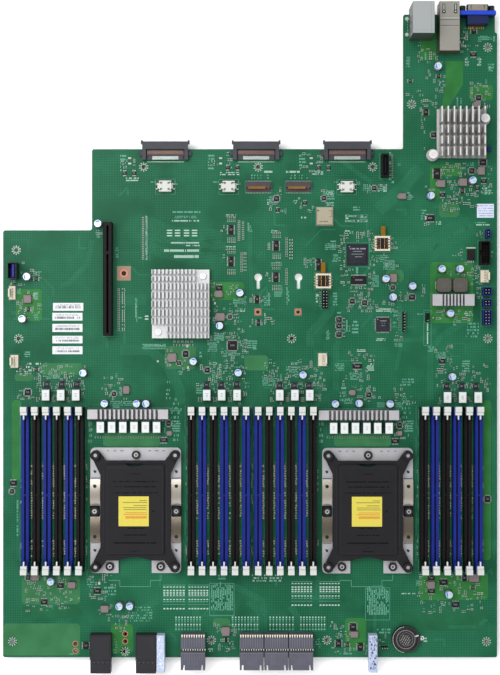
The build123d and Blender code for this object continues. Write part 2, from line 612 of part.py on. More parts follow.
# x, y, footprint width, footprint depth
IC_PACKAGES = [
    (-16.0, 356.2, 5.4, 9.3), (-16.0, 328.8, 5.4, 9.8), (23.1, 342.4, 5.3, 9.9),
    (22.8, 315.1, 5.3, 9.5), (-14.7, 256.1, 9.3, 9.3), (6.5, 296.0, 4.3, 8.0),
    (7.7, 275.9, 3.5, 6.1), (77.4, 278.5, 5.2, 4.7), (77.4, 272.9, 5.2, 4.7),
    (77.4, 265.6, 5.2, 4.7), (93.2, 238.2, 9.3, 4.9), (166.6, 242.5, 6.0, 4.7),
    (103.1, 213.4, 4.7, 4.7), (88.8, 294.4, 4.8, 4.8), (99.5, 293.1, 4.8, 4.8),
    (156.1, 366.2, 8.7, 6.1), (162.1, 404.7, 6.6, 10.4), (166.9, 386.4, 5.2, 4.0),
    (184.0, 389.8, 3.5, 5.2), (201.8, 414.4, 6.7, 6.0), (192.2, 407.1, 5.2, 5.2),
    (202.6, 398.4, 5.4, 4.0), (197.2, 392.0, 3.5, 3.5), (193.9, 528.5, 4.8, 6.5),
    (193.6, 507.7, 6.1, 3.9), (139.0, 484.9, 3.5, 3.5), (163.4, 489.1, 3.5, 3.5),
    (152.5, 457.8, 4.8, 6.1), (159.2, 438.2, 4.9, 4.9), (198.2, 470.3, 5.2, 5.2),
    (140.4, 298.0, 6.0, 5.2), (123.9, 306.1, 4.0, 4.0), (-184.4, 313.6, 3.5, 3.5),
    (-191.1, 287.4, 3.5, 4.3), (-191.7, 215.6, 6.0, 6.0), (-184.4, 235.4, 3.5, 3.5),
    (-55.2, 248.9, 5.4, 6.1), (-60.8, 240.9, 4.3, 3.5), (-26.2, 305.9, 6.1, 5.0),
    (-17.0, 281.1, 3.9, 3.9), (-36.6, 234.9, 5.0, 5.0), (-117.2, 214.3, 4.3, 4.3),
    (-70.0, 188.8, 4.3, 5.2), (-74.0, 174.2, 6.9, 4.3), (129.8, 187.0, 4.3, 5.2),
    (126.0, 173.3, 6.9, 4.3), (-191.3, 55.5, 4.5, 4.5), (-163.4, 48.5, 6.0, 4.8),
    (-177.6, 34.4, 6.3, 5.2), (-131.7, 43.8, 6.7, 5.6), (-141.4, -3.3, 5.7, 6.9),
    (-204.2, 137.1, 6.4, 5.2), (-205.4, 130.0, 4.3, 4.3), (205.9, 123.3, 5.2, 6.1),
    (-20.2, 1.5, 2.6, 4.3), (89.5, 12.8, 6.7, 7.2), (77.0, -1.5, 5.5, 7.2),
    (95.8, -4.5, 5.5, 7.8), (84.5, -2.6, 3.5, 3.5), (157.3, 55.2, 6.1, 4.3),
    (157.3, 43.6, 6.7, 3.9), (167.8, 51.4, 7.8, 5.5), (185.9, 55.2, 4.3, 6.7),
    (178.2, 32.1, 6.7, 5.5), (193.1, 47.0, 3.5, 3.5), (23.4, 383.1, 5.2, 5.2),
    (24.3, 373.3, 3.5, 3.5), (47.9, 379.4, 3.5, 3.5), (64.3, 383.5, 4.3, 4.3),
    (107.9, 392.2, 4.3, 4.3), (-107.9, 405.1, 3.5, 3.5), (-99.7, 405.1, 3.5, 3.5),
    (-18.9, 409.9, 3.5, 3.5), (-10.3, 409.9, 3.5, 3.5), (59.9, 409.7, 3.5, 3.5),
    (68.3, 409.7, 3.5, 3.5), (59.7, 326.1, 4.4, 11.6),
]
with BuildPart() as ic_packages:
    for x, y, width, depth in IC_PACKAGES:
        boxes([(x, y)], 0, (width * IC_BODY_SHARE, depth * IC_BODY_SHARE, IC_H))
    boxes([WIDE_IC], 0, WIDE_IC_BODY)
save(ic_packages, "ic_packages")

ROM_SOCKETS = [(114.7, 344.1), (63.8, 311.8)]
ROM_BODY = (13.2, 12.8, 4.0)
ROM_WELL = (8.6, 9.6)
ROM_WELL_RISE = 1.6
ROM_NOTCH = (2.4, 0.9)
ROM_NOTCH_RISE = 2.4
ROM_NOTCH_OFFSETS = [(side * 5.6, y) for side in (-1, 1) for y in spread(0, 4, 2.2)]
with BuildPart() as rom_sockets:
    boxes(ROM_SOCKETS, 0, ROM_BODY)
    boxes(ROM_SOCKETS, ROM_WELL_RISE, (*ROM_WELL, OVER), CUT)
    boxes(around(ROM_SOCKETS, ROM_NOTCH_OFFSETS), ROM_NOTCH_RISE, (*ROM_NOTCH, OVER), CUT)
save(rom_sockets, "rom_sockets")

# ---------------------------------------------------------------- board connectors
RISER_X = -121.6
RISER_Y = 313.2
RISER_BODY = (7.8, 97.5, 11.0)
RISER_GROOVE_W = 1.8
RISER_GROOVE_RISE = 3.0
RISER_GROOVES = [(348.0, 22.0), (300.5, 67.6)]    # y centre, length
with BuildPart() as riser_slot:
    boxes([(RISER_X, RISER_Y)], 0, RISER_BODY)
    chamfer(riser_slot.edges().filter_by(Axis.Y).group_by(Axis.Z)[-1], 0.6)
    for y, length in RISER_GROOVES:
        boxes([(RISER_X, y)], RISER_GROOVE_RISE, (RISER_GROOVE_W, length, OVER), CUT)
save(riser_slot, "riser_slot")

MEZZANINE = (116.8, 411.0)
MEZZANINE_FLOOR = 3.0
MEZZANINE_BODY = (6.5, 19.7, 9.5)
MEZZANINE_WELL = (3.6, 16.6)
MEZZANINE_TONGUE = (1.4, 14.6, 5.4)
with BuildPart() as mezzanine_connector:
    boxes([MEZZANINE], 0, MEZZANINE_BODY)
    boxes([MEZZANINE], MEZZANINE_FLOOR, (*MEZZANINE_WELL, OVER), CUT)
    boxes([MEZZANINE], MEZZANINE_FLOOR, MEZZANINE_TONGUE)
save(mezzanine_connector, "mezzanine_connector")

# tall rear body, low front sill, and a card mouth facing forwards
M2_CONNECTORS = [(7.8, 393.1), (42.4, 393.1)]
M2_BODY = (21.4, 5.2, 4.2)
M2_SILL = (21.4, 3.6, 1.3)
M2_MOUTH = (19.6, 5.4, 1.1)
M2_MOUTH_RISE = 1.6
with BuildPart() as m2_connectors:
    boxes(around(M2_CONNECTORS, [(0, 1.8)]), 0, M2_BODY)
    boxes(around(M2_CONNECTORS, [(0, -2.6)]), 0, M2_SILL)
    boxes(around(M2_CONNECTORS, [(0, -2.0)]), M2_MOUTH_RISE, M2_MOUTH, CUT)
save(m2_connectors, "m2_connectors")

# three edge connectors hanging over the rear edge, each a shroud with a rear mouth,
# a low foot in front of it and an arm at each side
REAR_CONNECTORS = [(-72.6, 39.4), (5.8, 39.6), (84.5, 40.0)]    # x, width
REAR_GAP = 0.05               # clearance above the board
REAR_SHROUD_Y = 428.6
REAR_FOOT_Y = 421.0
REAR_MOUTH_Y = 430.0
REAR_MOUTH_RISE = 1.6
REAR_INSET = 8.0              # foot and mouth are narrower than the shroud by this
REAR_ARM_W = 3.2
with BuildPart() as rear_edge_connectors:
    for x, width in REAR_CONNECTORS:
        inner_width = width - REAR_INSET
        arm_shift = width / 2 - REAR_ARM_W / 2
        boxes([(x, REAR_SHROUD_Y)], REAR_GAP, (width, 6.6, 5.4))
        boxes([(x, REAR_FOOT_Y)], REAR_GAP, (inner_width, 9.0, 2.2))
        boxes([(x - arm_shift, REAR_FOOT_Y), (x + arm_shift, REAR_FOOT_Y)],
              REAR_GAP, (REAR_ARM_W, 9.6, 5.0))
        boxes([(x, REAR_MOUTH_Y)], REAR_MOUTH_RISE, (inner_width, 6.0, 2.2), CUT)
save(rear_edge_connectors, "rear_edge_connectors")

POWER_HEADERS = [(-72.7, 393.5), (-17.9, 393.3), (84.1, 393.0)]
POWER_HEADER_BODY = (11.0, 9.4, 5.2)
POWER_HEADER_TAB = (1.4, 5.0, 2.4)
POWER_HEADER_WELL = (2.0, 1.8)
POWER_HEADER_WELL_RISE = 3.4
with BuildPart() as power_headers:
    boxes(POWER_HEADERS, 0, POWER_HEADER_BODY)
    boxes(around(POWER_HEADERS, [(-6.0, 0.6), (6.0, 0.6)]), 0, POWER_HEADER_TAB)
    boxes(around(POWER_HEADERS, corners(3.2, 2.6)), POWER_HEADER_WELL_RISE,
          (*POWER_HEADER_WELL, OVER), CUT)
    # only the full-height upright edges of the bodies
    chamfer(power_headers.edges().filter_by(Axis.Z).filter_by(lambda e: e.length > 5.1), 0.6)
save(power_headers, "power_headers")

# ---------------------------------------------------------------- pin headers
PIN = 0.64                    # square post width
PIN_PITCH = 2.54
PIN_HOLE = (PIN + 0.1, PIN + 0.1, OVER)

# wire-to-board headers: floor, and a tall wall on one side
# x, y, width, depth, side of the wall (-1 left, 1 right)
FAN_HEADERS = [
    (-204.7, 301.6, 5.4, 11.5, -1), (-202.8, 242.4, 6.5, 10.9, -1),
    (203.1, 315.8, 7.1, 10.4, 1), (63.1, 243.9, 7.2, 10.9, 1),
]
FAN_FLOOR_H = 3.0
FAN_WALL_T = 1.4
FAN_WALL_H = 8.0
FAN_WALL_SHARE = 0.62         # wall length as a share of the header depth
FAN_PINS = [(x, pin_y) for x, y, *_ in FAN_HEADERS for pin_y in spread(y, 4, PIN_PITCH)]
with BuildPart() as fan_headers:
    for x, y, width, depth, side in FAN_HEADERS:
        boxes([(x, y)], 0, (width, depth, FAN_FLOOR_H))
        boxes([(x + side * (width / 2 - FAN_WALL_T / 2), y)], 0,
              (FAN_WALL_T, depth * FAN_WALL_SHARE, FAN_WALL_H))
    boxes(FAN_PINS, 0, PIN_HOLE, CUT)
save(fan_headers, "fan_headers")

TWO_ROW = (65.2, 295.9)
ONE_ROW = (133.4, 276.5)
SMALL_ROW = (116.7, -4.7)
JUMPER = (153.3, 281.5)       # midpoint of the two rear jumper posts
JUMPER_ROW = (JUMPER[0], JUMPER[1] - PIN_PITCH / 2)
TWO_ROW_PINS = [
    (TWO_ROW[0] + side * PIN_PITCH / 2, y) for side in (-1, 1)
    for y in spread(TWO_ROW[1], 6, PIN_PITCH)
]
ONE_ROW_PINS = [(ONE_ROW[0], y) for y in spread(ONE_ROW[1], 7, PIN_PITCH)]
JUMPER_PINS = [(JUMPER[0], y) for y in spread(JUMPER_ROW[1], 3, PIN_PITCH)]
SMALL_ROW_PINS = [(x, SMALL_ROW[1]) for x in spread(SMALL_ROW[0], 3, 2.0)]
LONG_PINS = TWO_ROW_PINS + ONE_ROW_PINS + JUMPER_PINS
with BuildPart() as pin_header_bases:
    boxes([TWO_ROW], 0, (5.0, 15.6, 2.5))
    boxes([ONE_ROW], 0, (2.5, 17.8, 2.5))
    boxes([JUMPER_ROW], 0, (2.5, 7.7, 2.5))
    boxes([SMALL_ROW], 0, (6.2, 2.2, 2.0))
    boxes(LONG_PINS + SMALL_ROW_PINS, 0, PIN_HOLE, CUT)
save(pin_header_bases, "pin_header_bases")

with BuildPart() as header_pins:
    for places, height in ((FAN_PINS, 7.6), (LONG_PINS, 8.4), (SMALL_ROW_PINS, 5.6)):
        boxes(places, 0, (PIN, PIN, height))
save(header_pins, "header_pins")

# shorting cap that slides over the two rear jumper posts, closed at the top
CAP_BODY = (2.5, 5.0, 7.4)
CAP_RISE = 2.6
CAP_BORE = (PIN + 0.12, PIN + 0.12, 9.2)
with BuildPart() as jumper_cap:
    boxes([JUMPER], CAP_RISE, CAP_BODY)
    boxes(JUMPER_PINS[1:], 0, CAP_BORE, CUT)
    chamfer(jumper_cap.edges().group_by(Axis.Z)[-1], 0.25)
save(jumper_cap, "jumper_cap")

# blue open-topped headers along the right edge; the first three hold two posts each
# x, y, width, depth
FRONT_PANEL = [
    (204.6, 302.6, 7.4, 7.4), (204.6, 292.7, 7.4, 6.8), (204.6, 280.1, 7.4, 13.1),
    (205.4, 352.4, 3.8, 7.6),
]
FRONT_PANEL_H = 8.0
FRONT_PANEL_FLOOR = 1.4
FRONT_PANEL_WALL = 0.8
FRONT_PANEL_POST = (0.6, 0.6, 5.6)
FRONT_PANEL_POST_RISE = 1.0
with BuildPart() as front_panel_headers:
    for x, y, width, depth in FRONT_PANEL:
        boxes([(x, y)], 0, (width, depth, FRONT_PANEL_H))
        boxes([(x, y)], FRONT_PANEL_FLOOR,
              (width - 2 * FRONT_PANEL_WALL, depth - 2 * FRONT_PANEL_WALL, OVER), CUT)
    boxes([(x + side * 1.2, y) for x, y, *_ in FRONT_PANEL[:3] for side in (-1, 1)],
          FRONT_PANEL_POST_RISE, FRONT_PANEL_POST)
save(front_panel_headers, "front_panel_headers")

# two rows of five posts in a shroud with a notch in its left wall
SHROUD = (202.6, 335.8)
SHROUD_BODY = (8.6, 20.3, 9.0)
SHROUD_WELL = (6.4, 18.0)
SHROUD_FLOOR = 1.8
SHROUD_NOTCH_X = 198.4
SHROUD_NOTCH = (2.0, 4.2)
SHROUD_NOTCH_RISE = 3.0
SHROUD_POST_RISE = 1.2
SHROUD_POSTS = [
    (SHROUD[0] + side * PIN_PITCH / 2, y) for side in (-1, 1)
    for y in spread(SHROUD[1], 5, PIN_PITCH)
]
with BuildPart() as shrouded_header:
    boxes([SHROUD], 0, SHROUD_BODY)
    boxes([SHROUD], SHROUD_FLOOR, (*SHROUD_WELL, OVER), CUT)
    boxes([(SHROUD_NOTCH_X, SHROUD[1])], SHROUD_NOTCH_RISE, (*SHROUD_NOTCH, OVER), CUT)
    boxes(SHROUD_POSTS, SHROUD_POST_RISE, (PIN, PIN, 6.0))
save(shrouded_header, "shrouded_header")

# ---------------------------------------------------------------- upright port
# near the left edge: metal shell open at the top, and a blue tongue on a floor block
PORT = (-203.1, 320.2)
PORT_FLOOR = 1.5
PORT_SHELL = (7.6, 14.0, 14.0)
PORT_WELL = (6.4, 12.8)
PORT_TONGUE = (2.0, 11.2, 11.0)
PORT_TONGUE_SHIFT = (0.9, 0)
PORT_TONGUE_BASE = (6.2, 12.6, 2.0)
with BuildPart() as usb_port_shell:
    boxes([PORT], 0, PORT_SHELL)
    boxes([PORT], PORT_FLOOR, (*PORT_WELL, OVER), CUT)
save(usb_port_shell, "usb_port_shell")

with BuildPart() as usb_port_tongue:
    boxes(around([PORT], [PORT_TONGUE_SHIFT]), PORT_FLOOR, PORT_TONGUE)
    boxes([PORT], PORT_FLOOR, PORT_TONGUE_BASE)
save(usb_port_tongue, "usb_port_tongue")

# ---------------------------------------------------------------- coin cell and its holder
CELL = (134.8, 2.7)
CELL_R = 10.0
CELL_T = 2.9
CELL_RISE = 1.2
CELL_FILLET = 0.45
CELL_CAP_R = 8.4
CELL_CAP_T = 0.3
HOLDER_R = 11.6
HOLDER_H = 4.6
# solid size, shift from the cell centre
HOLDER_RIGHT = ((4.0, 6.0, HOLDER_H), (10.6, -0.4))
HOLDER_LEFT = ((3.0, 7.0, 3.0), (-10.6, 0))
HOLDER_GAP = (9.0, 8.0)       # opening in the front of the rim
HOLDER_GAP_SHIFT = (0, -12.5)
HOLDER_GAP_RISE = 2.4
with BuildPart() as battery_holder:
    cylinders([CELL], 0, HOLDER_R, HOLDER_H)
    for size, shift in (HOLDER_RIGHT, HOLDER_LEFT):
        boxes(around([CELL], [shift]), 0, size)
    cylinders([CELL], CELL_RISE, CELL_R + 0.15, OVER, CUT)
    boxes(around([CELL], [HOLDER_GAP_SHIFT]), HOLDER_GAP_RISE, (*HOLDER_GAP, OVER), CUT)
save(battery_holder, "battery_holder")

with BuildPart() as coin_cell:
    cylinders([CELL], CELL_RISE, CELL_R, CELL_T)
    fillet(coin_cell.edges().filter_by(GeomType.CIRCLE), CELL_FILLET)
    cylinders([CELL], CELL_RISE + CELL_T, CELL_CAP_R, CELL_CAP_T)
save(coin_cell, "coin_cell")

# ---------------------------------------------------------------- front edge connectors
# long body with a taller front block; notches along the rear top edge, two upright slits
# and three rows of eight contact openings in the front face
BACKPLANE = [(-48.4, 20.8), (1.9, 20.6), (23.0, 20.3), (44.2, 20.8)]    # x, width
BACKPLANE_BODY_Y = -6.7
BACKPLANE_BLOCK_Y = -13.9
BACKPLANE_NOTCH_Y = 7.6
BACKPLANE_SLIT_Y = -21.8
BACKPLANE_SLIT_INSET = 2.6    # slit centre from the side of the body
BACKPLANE_CONTACT_Y = -22.0
BACKPLANE_CONTACT_RISES = [1.4 + row * 1.9 for row in range(3)]
with BuildPart() as backplane_connectors:
    for x, width in BACKPLANE:
        boxes([(x, BACKPLANE_BODY_Y)], 0, (width, 30.2, 9.6))
        boxes([(x, BACKPLANE_BLOCK_Y)], 0, (width, 15.8, 12.4))
        boxes([(notch_x, BACKPLANE_NOTCH_Y) for notch_x in spread(x, 8, 2.5)], 6.4,
              (1.2, 3.0, OVER), CUT)
        slit_shift = width / 2 - BACKPLANE_SLIT_INSET
        boxes([(x - slit_shift, BACKPLANE_SLIT_Y), (x + slit_shift, BACKPLANE_SLIT_Y)], -0.5,
              (1.5, 8.6, OVER), CUT)
        for rise in BACKPLANE_CONTACT_RISES:
            boxes([(contact_x, BACKPLANE_CONTACT_Y) for contact_x in spread(x, 8, 2.4)], rise,
                  (1.1, 4.0, 1.0), CUT)
save(backplane_connectors, "backplane_connectors")

# rear body and a slightly narrower front block with three openings
POWER_CONNECTORS = [(-127.8, 18.2), (-88.9, 17.8)]    # x, width
POWER_BODY_Y = -2.8
POWER_BLOCK_Y = -18.4
POWER_OPENING_Y = -22.0
with BuildPart() as power_connectors:
    for x, width in POWER_CONNECTORS:
        boxes([(x, POWER_BODY_Y)], 0, (width, 21.4, 10.0))
        boxes([(x, POWER_BLOCK_Y)], 0, (width - 0.8, 13.8, 9.4))
        boxes([(opening_x, POWER_OPENING_Y) for opening_x in spread(x, 3, 5.2)], 1.6,
              (3.4, 16.0, 6.0), CUT)
save(power_connectors, "power_connectors")

# plain blocks with a pocket in the front face
GUIDES = [(-76.2, 7.0), (106.2, 7.3)]    # x, width
GUIDE_Y = -8.5
GUIDE_POCKET_Y = -22.0
GUIDE_WALL = 1.7
with BuildPart() as guide_blocks:
    for x, width in GUIDES:
        boxes([(x, GUIDE_Y)], 0, (width, 32.0, 10.0))
        boxes([(x, GUIDE_POCKET_Y)], 3.0, (width - 2 * GUIDE_WALL, 14.0, 4.4), CUT)
    chamfer(guide_blocks.edges().group_by(Axis.Z)[-1], 0.6)
save(guide_blocks, "guide_blocks")

# ---------------------------------------------------------------- rear panel connectors
LAN_X = 147.0
LAN_BODY = (18.2, 26.8, 30.0)
LAN_MOUTH = (12.6, 24.0, 11.4)
LAN_MOUTH_RISES = (2.2, 16.2)
with BuildPart() as lan_stack:
    boxes([(LAN_X, 533.1)], 0, LAN_BODY)
    for rise in LAN_MOUTH_RISES:
        boxes([(LAN_X, 543.0)], rise, LAN_MOUTH, CUT)
save(lan_stack, "lan_stack")

USB_X = 170.9
USB_BODY = (16.9, 42.0, 16.0)
USB_MOUTH = (13.2, 14.0, 5.8)
USB_MOUTH_RISES = (1.4, 8.8)
USB_TONGUE = (11.2, 12.0, 1.9)
USB_TONGUE_LIFT = 2.0         # tongue above the floor of its mouth
USB_TOP_SLOT = (1.6, 5.4, 1.0)
USB_TOP_SLOT_RISE = 15.6
with BuildPart() as usb_stack:
    boxes([(USB_X, 528.9)], 0, USB_BODY)
    for rise in USB_MOUTH_RISES:
        boxes([(USB_X, 545.0)], rise, USB_MOUTH, CUT)
    for rise in USB_MOUTH_RISES:
        boxes([(USB_X, 543.0)], rise + USB_TONGUE_LIFT, USB_TONGUE)
    boxes([(USB_X + side * 5.2, 545.4) for side in (-1, 1)], USB_TOP_SLOT_RISE, USB_TOP_SLOT, CUT)
save(usb_stack, "usb_stack")

VGA_X = 195.7
VGA_Y = 541.1
VGA_Z = BOARD_T + 6.3         # centre line of the shell and jackscrews
VGA_FLANGE = (30.8, 3.4, 12.5)
VGA_FACE = Plane.XZ.offset(-(VGA_Y + VGA_FLANGE[1] / 2))    # rear face, its normal towards -Y
with BuildPart() as vga_connector:
    boxes([(VGA_X, VGA_Y)], 0, VGA_FLANGE)
    boxes([(196.0, 535.8)], 0, (18.0, 7.4, 10.6))
save(vga_connector, "vga_connector")

# tapered tube standing out to the rear: half width at the top, at the bottom, half height
VGA_SHELL_OUTER = (8.4, 7.2, 4.0)
VGA_SHELL_INNER = (7.7, 6.6, 3.4)
VGA_SHELL_L = 6.0
with BuildPart() as vga_shell:
    with BuildSketch(VGA_FACE):
        for (top, bottom, half_height), mode in ((VGA_SHELL_OUTER, Mode.ADD),
                                                 (VGA_SHELL_INNER, CUT)):
            with BuildLine():
                Polyline(
                    (VGA_X - top, VGA_Z + half_height), (VGA_X + top, VGA_Z + half_height),
                    (VGA_X + bottom, VGA_Z - half_height), (VGA_X - bottom, VGA_Z - half_height),
                    close=True,
                )
            make_face(mode=mode)
    extrude(amount=-VGA_SHELL_L)
save(vga_shell, "vga_shell")

JACKSCREW_SHIFT = 12.5
JACKSCREW_R = 2.75            # hexagon, centre to corner
JACKSCREW_BORE_R = 1.3
JACKSCREW_L = 5.2
with BuildPart() as vga_jackscrews:
    with BuildSketch(VGA_FACE):
        with Locations((VGA_X - JACKSCREW_SHIFT, VGA_Z), (VGA_X + JACKSCREW_SHIFT, VGA_Z)):
            RegularPolygon(JACKSCREW_R, 6)
            Circle(JACKSCREW_BORE_R, mode=CUT)
    extrude(amount=-JACKSCREW_L)
save(vga_jackscrews, "vga_jackscrews")

# ---------------------------------------------------------------- card slot
# flat housing with a mouth facing forwards
CARD_X = 65.0
CARD_BODY = (14.3, 15.6, 1.9)
CARD_MOUTH = (11.4, 15.0, 0.9)
with BuildPart() as card_slot:
    boxes([(CARD_X, 367.7)], 0, CARD_BODY)
    boxes([(CARD_X, 364.0)], 0.5, CARD_MOUTH, CUT)
save(card_slot, "card_slot")
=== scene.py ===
# A large server board lying flat: two processor sockets, four memory banks, a rear edge with
# ports and a front edge with power and drive connectors.
# x runs right, y towards the rear and z up. The underside of the board is at z = 0.
# Lengths are millimetres unless noted; meshes are scaled to metres when they are built.
import json
import math
import random
from functools import partial

import bpy
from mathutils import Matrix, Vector


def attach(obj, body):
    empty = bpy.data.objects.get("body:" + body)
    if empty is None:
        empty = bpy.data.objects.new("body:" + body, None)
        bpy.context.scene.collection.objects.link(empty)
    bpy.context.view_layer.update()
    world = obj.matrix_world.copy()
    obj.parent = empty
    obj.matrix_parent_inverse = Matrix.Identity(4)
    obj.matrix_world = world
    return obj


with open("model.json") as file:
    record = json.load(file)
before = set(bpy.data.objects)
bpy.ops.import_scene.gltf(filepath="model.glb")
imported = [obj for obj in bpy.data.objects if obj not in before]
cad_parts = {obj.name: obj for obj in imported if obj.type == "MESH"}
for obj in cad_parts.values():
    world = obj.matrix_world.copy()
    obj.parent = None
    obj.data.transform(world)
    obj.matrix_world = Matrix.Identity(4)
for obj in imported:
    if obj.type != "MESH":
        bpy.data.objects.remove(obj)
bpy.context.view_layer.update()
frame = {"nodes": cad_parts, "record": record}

MM = 0.001
TOP = 2.36                    # board thickness, so the height of its upper face
dice = random.Random(7)

# Small surface details are laid out on a plan grid: u counts right, v towards the front.
GRID_PITCH = 0.865
GRID_ORIGIN = (249.4, 641.5)  # the grid point over x = 0, y = 0

BANK_X = [-169.1, -26.3, 31.0, 173.6]
SLOT_PITCH = 9.4
FIRST_SLOT = 2.5 * SLOT_PITCH  # from the bank centre to its first slot
FIRST_GAP = 28.2              # from the bank centre to the strip outside its first slot
SLOT_Y = 132.3
SOCKETS = [(-98.1, 113.8), (102.0, 113.5)]


def plan(u, v):
    return ((u - GRID_ORIGIN[0]) * GRID_PITCH, (GRID_ORIGIN[1] - v) * GRID_PITCH)


def arc(x, y, radius, start, sweep, steps):
    angles = [start + sweep * i / steps for i in range(steps + 1)]
    return [(x + radius * math.cos(a), y + radius * math.sin(a)) for a in angles]


def circle(x, y, radius, count):
    return arc(x, y, radius, 0, 2 * math.pi, count)[:count]


def runs(start, end, *lengths):
    """Step from start to end in random lengths, giving each start and length."""
    at = start
    while at < end:
        length = dice.choice(lengths)
        yield at, length
        at += length


# ------------------------------------------------------------------ mesh batches
class Batch:
    """Many small solids of one finish gathered into one mesh that rides with a body."""

    def __init__(self, name, body="board"):
        self.name, self.body = name, body
        self.verts, self.faces, self.face_slots = [], [], []
        self.slot = 0

    def add(self, verts, faces):
        first = len(self.verts)
        self.verts.extend(verts)
        self.faces.extend([tuple(i + first for i in face) for face in faces])
        self.face_slots.extend([self.slot] * len(faces))

    def prism(self, points, z0, z1):
        """An outline raised from z0 to z1, open underneath."""
        n = len(points)
        area = sum(points[i][0] * points[(i + 1) % n][1] - points[(i + 1) % n][0] * points[i][1]
                   for i in range(n))
        if area < 0:
            points = points[::-1]
        verts = [(x, y, z) for z in (z0, z1) for x, y in points]
        sides = [(i, (i + 1) % n, n + (i + 1) % n, n + i) for i in range(n)]
        self.add(verts, [tuple(range(n, 2 * n))] + sides)

    def box(self, cx, cy, z0, width, depth, height, angle=0.0):
        c, s = math.cos(angle), math.sin(angle)
        x, y = width / 2, depth / 2
        corners = [(-x, -y), (x, -y), (x, y), (-x, y)]
        self.prism([(cx + x * c - y * s, cy + x * s + y * c) for x, y in corners], z0, z0 + height)

    def disc(self, cx, cy, z0, radius, height, count):
        self.prism(circle(cx, cy, radius, count), z0, z0 + height)

    def cone(self, cx, cy, tip_radius, root_radius, height, count):
        """A closed cone hanging below the board."""
        verts = [(x, y, -height) for x, y in circle(cx, cy, tip_radius, count)]
        verts += [(x, y, 0) for x, y in circle(cx, cy, root_radius, count)]
        sides = [(i, (i + 1) % count, count + (i + 1) % count, count + i) for i in range(count)]
        ends = [tuple(range(count, 2 * count)), tuple(reversed(range(count)))]
        self.add(verts, ends[:1] + sides + ends[1:])

    def ring(self, cx, cy, z0, inner, outer, height, count=28):
        verts = [(x, y, z) for z in (z0, z0 + height) for radius in (inner, outer)
                 for x, y in circle(cx, cy, radius, count)]
        faces = []
        for i in range(count):
            j = (i + 1) % count
            faces.append((2 * count + i, 3 * count + i, 3 * count + j, 2 * count + j))
            faces.append((count + i, count + j, 3 * count + j, 3 * count + i))
            faces.append((i, 2 * count + i, 2 * count + j, j))
        self.add(verts, faces)

    def path(self, points, width, z0, height):
        for (x0, y0), (x1, y1) in zip(points, points[1:]):
            length = math.hypot(x1 - x0, y1 - y0)
            if length < 1e-6:
                continue
            self.box((x0 + x1) / 2, (y0 + y1) / 2, z0, length + width * 0.8, width, height,
                     math.atan2(y1 - y0, x1 - x0))

    def frame(self, x0, y0, x1, y1, width, z0, height):
        self.path([(x0, y0), (x1, y0), (x1, y1), (x0, y1), (x0, y0)], width, z0, height)

    def build(self, *materials, smooth=False):
        if not self.faces:
            return
        mesh = bpy.data.meshes.new(self.name)
        mesh.from_pydata([(x * MM, y * MM, z * MM) for x, y, z in self.verts], [], self.faces)
        for material in materials:
            mesh.materials.append(material)
        if len(materials) > 1:
            mesh.polygons.foreach_set("material_index", self.face_slots)
        if smooth:
            mesh.polygons.foreach_set("use_smooth", [True] * len(mesh.polygons))
        mesh.update()
        obj = bpy.data.objects.new(self.name, mesh)
        bpy.context.scene.collection.objects.link(obj)
        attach(obj, self.body)


# ------------------------------------------------------------------ shader helpers
def lin(rgb):
    """0-255 sRGB to linear."""
    return tuple((x / 255 / 12.92) if x / 255 <= 0.04045 else (((x / 255) + 0.055) / 1.055) ** 2.4
                 for x in rgb)


def shade(colour, factor):
    return tuple(min(1.0, x * factor) for x in colour)


